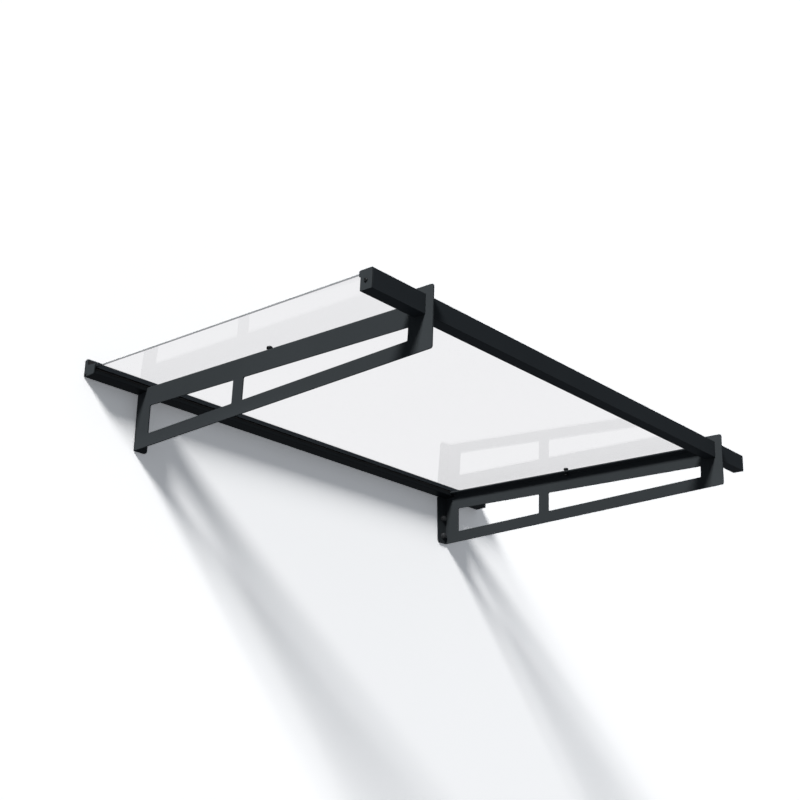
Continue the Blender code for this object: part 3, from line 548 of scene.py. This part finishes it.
def dress_cap_screws(metal):
    """The small screws through the end caps."""
    for cap, head in CAP_SCREW_HEADS.items():
        rings = domed_head_rings(socket_radius=head["radius"] * CAP_SOCKET_SHARE, **head)
        for side, sign in SIDES.items():
            screw = f"{side}_{cap}_cap_screw"
            low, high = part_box(screw)
            outer = high.x if sign > 0 else low.x
            place = Vector((outer - sign * head["height"], centre_of(screw).y, centre_of(screw).z))
            length = high.x - low.x - head["height"]
            name = screw + "_turned"
            fastener_set(name, [screw], rings, [place], (sign, 0, 0), metal, screw=CAP_SCREW, length=length)


def dress_panel_bolts(metal, rubber):
    """The bolts that hold the sheet to the arms, with their seals, spacers, washers and nuts."""
    bolts, seals, spacers, washers, nuts = (
        [f"{side}_{piece}" for side in SIDES]
        for piece in ("panel_bolt", "bolt_seal", "panel_spacer", "bolt_washer", "bolt_nut")
    )
    radius = PANEL_BOLT["radius"]
    seats = [centre_of(seal) + ROOF_UP * (SEAL_THICKNESS / 2 + CONTACT_GAP) for seal in seals]
    low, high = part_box(bolts[0])
    whole = (high.z - low.z) / math.cos(ROOF_PITCH) - radius * 2 * math.tan(ROOF_PITCH)
    length = whole - PANEL_BOLT_HEAD["height"]
    rings = domed_head_rings(**PANEL_BOLT_HEAD)
    fastener_set("panel_bolts", bolts, rings, seats, ROOF_UP, metal, screw=PANEL_BOLT, length=length)

    soft = (ROOF_UP, rubber, "black_rubber", RUBBER_RING_EASE)
    dress_rings("bolt_seals", seals, PANEL_BOLT, SEAL_THICKNESS, *soft)
    dress_rings("panel_spacers", spacers, PANEL_BOLT, SPACER_THICKNESS, *soft)
    dress_rings("bolt_washers", washers, PANEL_BOLT, BOLT_WASHER_THICKNESS, ROOF_UP, metal)
    below = [centre_of(nut) - ROOF_UP * NUT_HEIGHT / 2 for nut in nuts]
    rings = nut_rings(radius + CONTACT_GAP, NUT_FLATS, NUT_HEIGHT)
    fastener_set("bolt_nuts", nuts, rings, below, ROOF_UP, metal)


# Rubber strips


def ribbed(start, end, ribs, depth):
    """Points from start to end. The ribs' crests lie on the line, and the valleys lie depth to its left."""
    start, end = Vector(start), Vector(end)
    along = end - start
    inward = Vector((-along.y, along.x)).normalized() * depth
    points = []
    for rib in range(ribs):
        for share, sunk in RIB_OUTLINE:
            points.append(start + along * (rib + share) / ribs + inward * sunk)
    return points + [end + inward]


def arc(centre, radius, first, last, steps=6):
    """Points of an arc between two angles in degrees."""
    angles = (math.radians(first + (last - first) * step / steps) for step in range(steps + 1))
    return [(centre[0] + radius * math.cos(angle), centre[1] + radius * math.sin(angle)) for angle in angles]


def on_roof(along, above):
    """The (depth, height) of a point along the slope and above the sheet's underside."""
    return (
        along * math.cos(ROOF_PITCH) + above * math.sin(ROOF_PITCH),
        PANEL_HEIGHT_AT_WALL - along * math.sin(ROOF_PITCH) + above * math.cos(ROOF_PITCH),
    )


def above_panel(depth, rise):
    """The (depth, height) of a point straight above the sheet's underside, at a depth from the wall."""
    return depth, PANEL_HEIGHT_AT_WALL - depth * math.tan(ROOF_PITCH) + rise


def strip(name, section, node, material):
    """A rubber strip with one section all along, in the length of the solid it replaces."""
    low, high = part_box(node)
    mesh = bmesh.new()
    corners = [mesh.verts.new((low.x, -depth, height)) for depth, height in section]
    face = mesh.faces.new(corners)
    raised = bmesh.ops.extrude_face_region(mesh, geom=[face])
    moved = [item for item in raised["geom"] if isinstance(item, bmesh.types.BMVert)]
    bmesh.ops.translate(mesh, vec=(high.x - low.x, 0, 0), verts=moved)
    ends = [item for item in mesh.faces if abs(item.normal.x) > 0.5]
    bmesh.ops.recalc_face_normals(mesh, faces=mesh.faces[:])
    bmesh.ops.triangulate(mesh, faces=ends)
    data = bpy.data.meshes.new(name)
    mesh.to_mesh(data)
    mesh.free()
    data.shade_smooth()
    data.set_sharp_from_angle(angle=STRIP_CREASE)
    add_piece(name, data, material, [node])


def dress_rear_strips(rubber):
    """The strips under and over the sheet's rear edge, ribbed where they meet the sheet and the metal."""
    low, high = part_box("rear_lower_gasket")
    rear, front = -high.y, -low.y
    section = ribbed((rear, low.z), (front, low.z), **SEAT_RIBS)
    section += ribbed(above_panel(front, -CONTACT_GAP), above_panel(rear, -CONTACT_GAP), **SHEET_RIBS)
    strip("rear_lower_strip", section, "rear_lower_gasket", rubber)

    low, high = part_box("rear_upper_gasket")
    rear, front = -high.y, -low.y
    foot = PANEL_THICKNESS + CONTACT_GAP
    section = ribbed(above_panel(rear, foot), above_panel(front, foot), **SHEET_RIBS)
    section += ribbed((front, high.z), (rear, high.z), **SEAT_RIBS)
    strip("rear_upper_strip", section, "rear_upper_gasket", rubber)


def dress_front_strips(rubber):
    """The strips in the front bar's slot. The lower one has a lip that hangs behind the bar."""
    floor = SLOT_FLOOR + CONTACT_GAP
    lip_foot = floor - LIP_DROP
    lip_rear = BAR_REAR - LIP_DEPTH
    lip_front = BAR_REAR - CONTACT_GAP
    seat = BAR_REAR + SLOT_SEAT
    section = arc((lip_rear + LIP_ROUND, lip_foot + LIP_ROUND), LIP_ROUND, 180, 270)
    section += [(lip_front, lip_foot), (lip_front, floor)]
    section += ribbed((BAR_REAR + STEM_SHIFT, floor), (seat, floor), **SEAT_RIBS)
    section += ribbed((seat, -CONTACT_GAP), (BAR_REAR, -CONTACT_GAP), **SHEET_RIBS)
    section += [(lip_rear + LIP_CHAMFER[0], -CONTACT_GAP), (lip_rear, -LIP_CHAMFER[1])]
    strip("front_lower_strip", [on_roof(*point) for point in section], "front_lower_gasket", rubber)

    foot = PANEL_THICKNESS + CONTACT_GAP
    crown = foot + SLOT_STRIP_HEIGHT
    ease = SLOT_STRIP_EASE
    section = ribbed((BAR_REAR, foot), (seat, foot), **SLOT_RIBS)
    section += [(seat, crown - ease), (seat - ease, crown)]
    section += [(BAR_REAR + ease, crown), (BAR_REAR, crown - ease)]
    strip("front_upper_strip", [on_roof(*point) for point in section], "front_upper_gasket", rubber)


def dress_wall_seal(rubber):
    """The strip at the top of the wall profile's back, with a round bulb."""
    low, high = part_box("wall_seal")
    front = -low.y
    bulb = front / 2
    section = [(0.0, low.z), (front, low.z), (front, high.z - bulb)]
    section += arc((bulb, high.z - bulb), bulb, 10, 170, 8)
    strip("wall_seal_bulb", section, "wall_seal", rubber)


# Effects that the materials share


def effect(name, inputs, outputs):
    """An empty group that reads a Vector and plain values, with the wiring to fill it and its inputs."""
    tree = bpy.data.node_groups.new(name, "ShaderNodeTree")
    socket(tree, "Vector", "NodeSocketVector")
    for label, value in inputs.items():
        socket(tree, label, "NodeSocketFloat", default=value)
    for label in outputs:
        socket(tree, label, "NodeSocketFloat", "OUTPUT")
    wire = Wiring(tree)
    return tree, wire, wire.add("NodeGroupInput").outputs


def coat_tree():
    """Powder coat: a fine orange-peel height, and a tone that drifts slowly over the surface."""
    inputs = {"Grains per Metre": 900.0, "Drift per Metre": 5.0}
    tree, wire, given = effect("powder_coat", inputs, ("Height", "Tone"))
    fine = wire.noise(given["Vector"], given["Grains per Metre"], 3.0, 0.6)
    cells = wire.add(
        "ShaderNodeTexVoronoi",
        {"Vector": given["Vector"], "Scale": wire.math("MULTIPLY", given["Grains per Metre"], 0.6)},
        feature="SMOOTH_F1",
    )
    drift = wire.noise(given["Vector"], given["Drift per Metre"])
    height = wire.mix(0.45, fine, cells.outputs["Distance"], "FLOAT")
    speck = wire.spread(fine, 0.3, 0.7, -0.25, 0.25)
    tone = wire.math("ADD", wire.spread(drift, 0.3, 0.7, 0.25, 0.75), speck, clamp=True)
    wire.add("NodeGroupOutput", {"Height": height, "Tone": tone})
    return tree


def drawn_tree():
    """Lines that a die leaves along an extruded length, which runs along X."""
    tree, wire, given = effect("die_lines", {"Lines per Metre": 1500.0}, ("Height",))
    stretched = wire.add("ShaderNodeMapping", {"Vector": given["Vector"], "Scale": (0.004, 1.0, 1.0)})
    lines = wire.noise(stretched.outputs[0], given["Lines per Metre"], 2.0, 0.7)
    wire.add("NodeGroupOutput", {"Height": lines})
    return tree


def edge_tree():
    """Where a surface turns sharply, broken up by a noise: 1 on a rubbed edge, 0 elsewhere."""
    tree, wire, given = effect("rubbed_edges", {"Width": 0.0006, "Amount": 0.5}, ("Mask",))
    rounded = wire.add("ShaderNodeBevel", {"Radius": given["Width"]}, samples=4)
    plain = wire.add("ShaderNodeNewGeometry").outputs["Normal"]
    dot = wire.add("ShaderNodeVectorMath", {0: rounded.outputs[0], 1: plain}, operation="DOT_PRODUCT")
    turning = wire.spread(dot.outputs["Value"], 0.995, 0.85, 0.0, 1.0)
    patches = wire.spread(wire.noise(given["Vector"], 60.0, 4.0), 0.4, 0.62, 0.15, 1.0)
    broken = wire.math("MULTIPLY", turning, patches)
    wire.add("NodeGroupOutput", {"Mask": wire.math("MULTIPLY", broken, given["Amount"], clamp=True)})
    return tree


def dust_tree():
    """Fine dust that settles on faces that look up, in patches."""
    tree, wire, given = effect("settled_dust", {"Amount": 0.3}, ("Mask",))
    normal = wire.add("ShaderNodeSeparateXYZ", {0: wire.add("ShaderNodeNewGeometry").outputs["Normal"]})
    upward = wire.spread(normal.outputs["Z"], 0.5, 0.95, 0.0, 1.0)
    patches = wire.spread(wire.noise(given["Vector"], 9.0, 6.0, 0.7), 0.35, 0.7, 0.2, 1.0)
    specks = wire.spread(wire.noise(given["Vector"], 1400.0), 0.4, 0.7, 0.3, 1.0)
    settled = wire.math("MULTIPLY", upward, wire.math("MULTIPLY", patches, specks))
    wire.add("NodeGroupOutput", {"Mask": wire.math("MULTIPLY", settled, given["Amount"])})
    return tree


def painted_light_shade_tree():
    """How far a place on the wall profile lies below the sheet, 0 on the hood and 1 on the box below: the
    mask for painted light on the hood and painted shade on the box.
    """
    inputs = {"Top": -0.004, "Foot": -0.011, "Reach": 0.06}
    tree, wire, given = effect("painted_hood_light_box_shade", inputs, ("On Profile", "Below"))
    spot = wire.add("ShaderNodeSeparateXYZ", {0: given["Vector"]}).outputs
    on_profile = wire.math("LESS_THAN", wire.math("MULTIPLY", spot["Y"], -1.0), given["Reach"])
    below = wire.spread(spot["Z"], given["Top"], given["Foot"], 0.0, 1.0)
    wire.add("NodeGroupOutput", {"On Profile": on_profile, "Below": below})
    return tree


COAT_TREE = coat_tree()
PAINTED_LIGHT_SHADE_TREE = painted_light_shade_tree()
DRAWN_TREE = drawn_tree()
EDGE_TREE = edge_tree()
DUST_TREE = dust_tree()


# Materials


def new_material(name):
    """A material with its shader, its wiring, and the place on the piece that its patterns follow."""
    material = bpy.data.materials.new(name)
    material.use_nodes = True
    wire = Wiring(material.node_tree)
    shader = material.node_tree.nodes["Principled BSDF"]
    spot = wire.add("ShaderNodeTexCoord").outputs["Object"]
    return material, wire, shader, spot


def rgba(colour, scale=1.0):
    """A colour with its alpha, made lighter or darker."""
    return (*(part * scale for part in colour), 1.0)


def painted(name, colour, rough, grains, relief, lines=0.0, edges=0.25, hood_painted_light=1.0, box_painted_shade=1.0):
    """Powder coat over metal: grain, slow tone, lighter rubbed edges and a little dust on top. On the wall
    profile it also paints light on the hood and shade on the box face below the sheet.
    """
    material, wire, shader, spot = new_material(name)
    coat = wire.group(COAT_TREE, {"Vector": spot, "Grains per Metre": grains})
    edge = wire.group(EDGE_TREE, {"Vector": spot, "Amount": edges})
    settled = wire.group(DUST_TREE, {"Vector": spot, "Amount": COAT_DUST})
    base = wire.mix(coat["Tone"], rgba(colour, 0.9), rgba(colour, 1.1))
    # Painted light on the hood and painted shade on the box face below the sheet
    if hood_painted_light != box_painted_shade:
        place = wire.group(PAINTED_LIGHT_SHADE_TREE, {"Vector": spot})
        tone = wire.mix(place["Below"], hood_painted_light, box_painted_shade, "FLOAT")
        tone = wire.mix(place["On Profile"], 1.0, tone, "FLOAT")
        base = wire.add("ShaderNodeVectorMath", {0: base, "Scale": tone}, operation="SCALE").outputs[0]
    rubbed = wire.mix(edge["Mask"], base, rgba(colour, 2.2))
    wire.feed(shader.inputs["Base Color"], wire.mix(settled["Mask"], rubbed, rgba(DUST)))
    roughness = wire.spread(coat["Tone"], 0.0, 1.0, rough - 0.05, rough + 0.05)
    wire.feed(shader.inputs["Roughness"], wire.mix(settled["Mask"], roughness, 0.9, "FLOAT"))
    shader.inputs["Specular IOR Level"].default_value = COAT_SPECULAR
    height = coat["Height"]
    if lines:
        drawn = wire.group(DRAWN_TREE, {"Vector": spot})
        height = wire.mix(lines, height, drawn["Height"], "FLOAT")
    wire.bump(shader, height, relief, 0.0001)
    return material


def moulded_plastic(name, colour):
    """Moulded plastic with a fine eroded texture and slightly rubbed edges."""
    material, wire, shader, spot = new_material(name)
    coat = wire.group(COAT_TREE, {"Vector": spot, "Grains per Metre": 1600.0, "Drift per Metre": 30.0})
    edge = wire.group(EDGE_TREE, {"Vector": spot, "Amount": 0.2})
    base = wire.mix(coat["Tone"], rgba(colour, 0.92), rgba(colour, 1.08))
    wire.feed(shader.inputs["Base Color"], wire.mix(edge["Mask"], base, rgba(colour, 1.8)))
    wire.feed(shader.inputs["Roughness"], wire.spread(coat["Tone"], 0.0, 1.0, 0.48, 0.60))
    shader.inputs["Specular IOR Level"].default_value = PLASTIC_SPECULAR
    wire.bump(shader, coat["Height"], 0.5, 0.00008)
    return material


def weather_rubber(name, colour):
    """Extruded black rubber: matt, with a faint bloom and fine lines along its length."""
    material, wire, shader, spot = new_material(name)
    coat = wire.group(COAT_TREE, {"Vector": spot, "Grains per Metre": 1200.0, "Drift per Metre": 14.0})
    drawn = wire.group(DRAWN_TREE, {"Vector": spot, "Lines per Metre": 2500.0})
    settled = wire.group(DUST_TREE, {"Vector": spot, "Amount": 0.2})
    base = wire.mix(coat["Tone"], rgba(colour, 0.8), rgba(colour, 1.5))
    wire.feed(shader.inputs["Base Color"], wire.mix(settled["Mask"], base, rgba(RUBBER_DUST)))
    wire.feed(shader.inputs["Roughness"], wire.spread(coat["Tone"], 0.0, 1.0, 0.62, 0.82))
    shader.inputs["Specular IOR Level"].default_value = RUBBER_SPECULAR
    height = wire.mix(0.5, coat["Height"], drawn["Height"], "FLOAT")
    wire.bump(shader, height, 0.4, 0.0001)
    return material


def coated_steel(name, colour):
    """Coated steel, rubbed to bare metal on its edges and crests."""
    material, wire, shader, spot = new_material(name)
    coat = wire.group(COAT_TREE, {"Vector": spot, "Grains per Metre": 2500.0, "Drift per Metre": 90.0})
    edge = wire.group(EDGE_TREE, {"Vector": spot, "Width": 0.0003, "Amount": 0.5})
    base = wire.mix(coat["Tone"], rgba(colour, 0.75), rgba(colour, 1.3))
    wire.feed(shader.inputs["Base Color"], wire.mix(edge["Mask"], base, rgba(BARE_STEEL)))
    wire.feed(shader.inputs["Metallic"], wire.spread(edge["Mask"], 0.0, 1.0, 0.35, 0.95))
    wire.feed(shader.inputs["Roughness"], wire.spread(coat["Tone"], 0.0, 1.0, 0.34, 0.50))
    wire.bump(shader, coat["Height"], 0.3, 0.00005)
    return material


def clear_sheet(name):
    """Clear solid acrylic with matt, dark sawn edges and a trace of waviness. Its shadow is pale."""
    material, wire, shader, spot = new_material(name)
    coat = wire.group(COAT_TREE, {"Vector": spot, "Grains per Metre": 2200.0, "Drift per Metre": 3.0})
    base = wire.mix(coat["Tone"], rgba(SHEET_TINT, 0.995), rgba(SHEET_TINT, 1.005))
    normal = wire.add("ShaderNodeSeparateXYZ", {0: wire.add("ShaderNodeNewGeometry").outputs["True Normal"]})
    sawn = wire.spread(wire.math("ABSOLUTE", normal.outputs["Z"]), 0.6, 0.5, 0.0, 1.0)
    wire.feed(shader.inputs["Base Color"], wire.mix(sawn, base, rgba(SAWN_EDGE_COLOUR)))
    wire.feed(shader.inputs["Roughness"], wire.math("MULTIPLY", sawn, SAWN_EDGE_ROUGHNESS))
    shader.inputs["Transmission Weight"].default_value = 1.0
    shader.inputs["IOR"].default_value = SHEET_BEND
    wire.bump(shader, coat["Tone"], 0.02, 0.0001)
    # Light and blurred reflections pass straight through, so that only a clear view is bent or mirrored
    rays = wire.add("ShaderNodeLightPath").outputs
    rough = wire.math("SUBTRACT", 1.0, rays["Is Singular Ray"])
    blurred = wire.math("MULTIPLY", rays["Is Glossy Ray"], rough)
    scattered = wire.math("MAXIMUM", rays["Is Diffuse Ray"], blurred)
    through = wire.math("MAXIMUM", rays["Is Shadow Ray"], scattered)
    shade = wire.mix(rays["Is Diffuse Ray"], rgba(SHEET_SHADOW), rgba(SHEET_SHADE))
    clear = wire.add("ShaderNodeBsdfTransparent", {"Color": shade})
    both = wire.add("ShaderNodeMixShader", {0: through, 1: shader.outputs[0], 2: clear.outputs[0]})
    wire.feed(material.node_tree.nodes["Material Output"].inputs["Surface"], both.outputs[0])
    return material


def plain_view(wire):
    """Masks for what a smooth surface mirrors, and for that with all that the camera sees of the studio."""
    rays = wire.add("ShaderNodeLightPath").outputs
    mirrored = wire.math("MULTIPLY", rays["Is Glossy Ray"], rays["Is Singular Ray"])
    shown = wire.math("MAXIMUM", rays["Is Camera Ray"], rays["Is Transmission Ray"])
    shown = wire.math("MAXIMUM", shown, mirrored)
    first = wire.math("LESS_THAN", rays["Diffuse Depth"], 0.5)
    return mirrored, wire.math("MULTIPLY", shown, first)


def pale_stage(name, colour, haze=0.0):
    """A pale surface that shows only from its front, mirrors as white, and lets light from behind through."""
    material = bpy.data.materials.new(name)
    material.use_nodes = True
    tree = material.node_tree
    tree.nodes.remove(tree.nodes["Principled BSDF"])
    wire = Wiring(tree)
    mirrored, shown = plain_view(wire)
    back = wire.add("ShaderNodeNewGeometry").outputs["Backfacing"]
    front = wire.math("MULTIPLY", wire.math("SUBTRACT", 1.0, back), shown)
    drift = wire.noise(wire.add("ShaderNodeTexCoord").outputs["Object"], 0.7)
    tone = wire.mix(drift, rgba(colour, 0.99), rgba(colour, 1.01))
    pale = wire.add("ShaderNodeBsdfDiffuse", {"Color": tone})
    glow = wire.add("ShaderNodeEmission", {"Color": rgba(WHITE), "Strength": haze})
    pale = wire.add("ShaderNodeAddShader", {0: pale.outputs[0], 1: glow.outputs[0]})
    white = wire.add("ShaderNodeEmission", {"Color": rgba(WHITE)})
    face = wire.add("ShaderNodeMixShader", {0: mirrored, 1: pale.outputs[0], 2: white.outputs[0]})
    clear = wire.add("ShaderNodeBsdfTransparent")
    both = wire.add("ShaderNodeMixShader", {0: front, 1: clear.outputs[0], 2: face.outputs[0]})
    wire.feed(tree.nodes["Material Output"].inputs["Surface"], both.outputs[0])
    return material


# Pieces that keep their solid's shape


def shade_by_width(mesh):
    """Shades wide flat areas flat and narrow strips smooth, so that only bends and eased edges look round."""
    done = set()
    for first in mesh.faces:
        if first in done:
            continue
        done.add(first)
        area = [first]
        for face in area:
            for edge in face.edges:
                if len(edge.link_faces) == 2 and edge.calc_face_angle() < FLAT_ANGLE:
                    fresh = [other for other in edge.link_faces if other not in done]
                    done.update(fresh)
                    area += fresh
        longest = max(edge.calc_length() for face in area for edge in face.edges)
        narrow = sum(face.calc_area() for face in area) / longest < FLAT_WIDTH
        for face in area:
            face.smooth = narrow
    for edge in mesh.edges:
        edge.smooth = not edge.is_manifold or edge.calc_face_angle() < CREASE_ANGLE


def eased(name, node, material, width=MOULDED_EASE):
    """A copy of a solid with its sharp edges rounded, standing for that solid."""
    mesh = bmesh.new()
    mesh.from_mesh(nodes[node].data)
    bmesh.ops.remove_doubles(mesh, verts=mesh.verts[:], dist=MERGE_DISTANCE)
    bmesh.ops.dissolve_limit(
        mesh, angle_limit=FLAT_ANGLE, verts=mesh.verts[:], edges=mesh.edges[:], use_dissolve_boundaries=False
    )
    sharp = [edge for edge in mesh.edges if edge.is_manifold and edge.calc_face_angle() > EASED_ANGLE]
    bmesh.ops.bevel(
        mesh,
        geom=sharp,
        offset=width,
        offset_type="OFFSET",
        segments=2,
        profile=0.5,
        affect="EDGES",
        clamp_overlap=True,
    )
    shade_by_width(mesh)
    bmesh.ops.triangulate(mesh, faces=mesh.faces[:])
    data = bpy.data.meshes.new(name)
    mesh.to_mesh(data)
    mesh.free()
    # The solid's own normals would show its facets in place of this shading
    kept_normals = data.attributes.get("custom_normal")
    if kept_normals:
        data.attributes.remove(kept_normals)
    add_piece(name, data, material, [node])


def dress():
    """Makes the materials and puts every dressed piece in the place of its solid."""
    arm_coat = painted("anthracite_arm_coat", ARM_GREY, rough=0.55, grains=900.0, relief=0.35, edges=0.08)
    profile_coat = painted(
        "anthracite_profile_coat",
        PROFILE_GREY,
        rough=0.50,
        grains=1100.0,
        relief=0.25,
        lines=0.35,
        hood_painted_light=HOOD_PAINTED_LIGHT,
        box_painted_shade=BOX_PAINTED_SHADE,
    )
    plastic = moulded_plastic("cap_plastic_grain", CAP_GREY)
    rubber = weather_rubber("black_weather_rubber", RUBBER_BLACK)
    metal = coated_steel("black_coated_steel", STEEL_BLACK)
    # The coach screws' lighter grey is painted sheen for the highlights on their heads
    coach_metal_painted_sheen = coated_steel("grey_steel_painted_sheen", STEEL_GREY_PAINTED_SHEEN)
    sheet = clear_sheet("clear_acrylic")

    for side in SIDES:
        eased(side + "_arm_coated", side + "_arm", arm_coat, ARM_EASE)
        eased(side + "_bar_cap_moulded", side + "_bar_cap", plastic)
        eased(side + "_profile_cap_moulded", side + "_profile_cap", plastic)
        eased(side + "_hood_plug_trimmed", side + "_hood_plug", rubber)
    eased("wall_profile_coated", "wall_profile", profile_coat, PROFILE_EASE)
    eased("front_bar_coated", "front_bar", profile_coat, BAR_EASE)
    eased("roof_sheet_polished", "roof_panel", sheet, SHEET_EASE)
    dress_rear_strips(rubber)
    dress_front_strips(rubber)
    dress_wall_seal(rubber)
    dress_arm_screws(coach_metal_painted_sheen)
    dress_profile_screws(metal)
    dress_cap_screws(metal)
    dress_panel_bolts(metal, rubber)


# Studio


def stage_mesh(name, corners, material):
    """A flat part of the studio, which isn't part of the object."""
    mesh = bpy.data.meshes.new(name)
    mesh.from_pydata(corners, [], [(0, 1, 2, 3)])
    mesh.materials.append(material)
    piece = placed(name, mesh)


def build_stage():
    """A pale wall and a pale floor."""
    half = WALL_WIDTH / 2
    reach = FLOOR_REACH
    wall = [(-half, FLOOR_HEIGHT), (half, FLOOR_HEIGHT), (half, WALL_TOP), (-half, WALL_TOP)]
    floor = [(-reach, -reach), (reach, -reach), (reach, reach), (-reach, reach)]
    wall_paint = pale_stage("wall_paint", WALL_PALE, WALL_HAZE)
    floor_paint = pale_stage("floor_paint", FLOOR_PALE)
    stage_mesh("studio_wall", [(x, WALL_BEHIND, z) for x, z in wall], wall_paint)
    stage_mesh("studio_floor", [(x, y, FLOOR_HEIGHT) for x, y in floor], floor_paint)


def add_lamp(name, direction, strength, spread):
    """A lamp far away, whose spread is how wide it looks."""
    lamp = bpy.data.lights.new(name, "SUN")
    lamp.energy = strength
    lamp.angle = spread
    placed(name, lamp).rotation_euler = Vector(direction).to_track_quat("-Z", "Y").to_euler()


def light_world():
    """A dim world for light, which the camera, mirrors and clear sheet see as white."""
    world = bpy.data.worlds.new("studio")
    bpy.context.scene.world = world
    world.use_nodes = True
    wire = Wiring(world.node_tree)
    shown = plain_view(wire)[1]
    colour = wire.mix(shown, rgba(AMBIENT), rgba(WHITE))
    wire.feed(world.node_tree.nodes["Background"].inputs["Color"], colour)


def set_camera():
    """The camera at the photograph's place."""
    camera = bpy.data.cameras.new("photograph")
    camera.lens = CAMERA_LENS
    camera.sensor_width = SENSOR_WIDTH
    camera.clip_end = CAMERA_SIGHT
    holder = placed("photograph", camera)
    holder.location = CAMERA_PLACE
    holder.rotation_euler = Euler(CAMERA_TURN)
    bpy.context.scene.camera = holder


set_camera()
bpy.context.scene.view_settings.view_transform = "Standard"
light_world()
add_lamp("key", KEY_DIRECTION, KEY_STRENGTH, KEY_SPREAD)
add_lamp("fill", FILL_DIRECTION, FILL_STRENGTH, FILL_SPREAD)
build_stage()
dress()
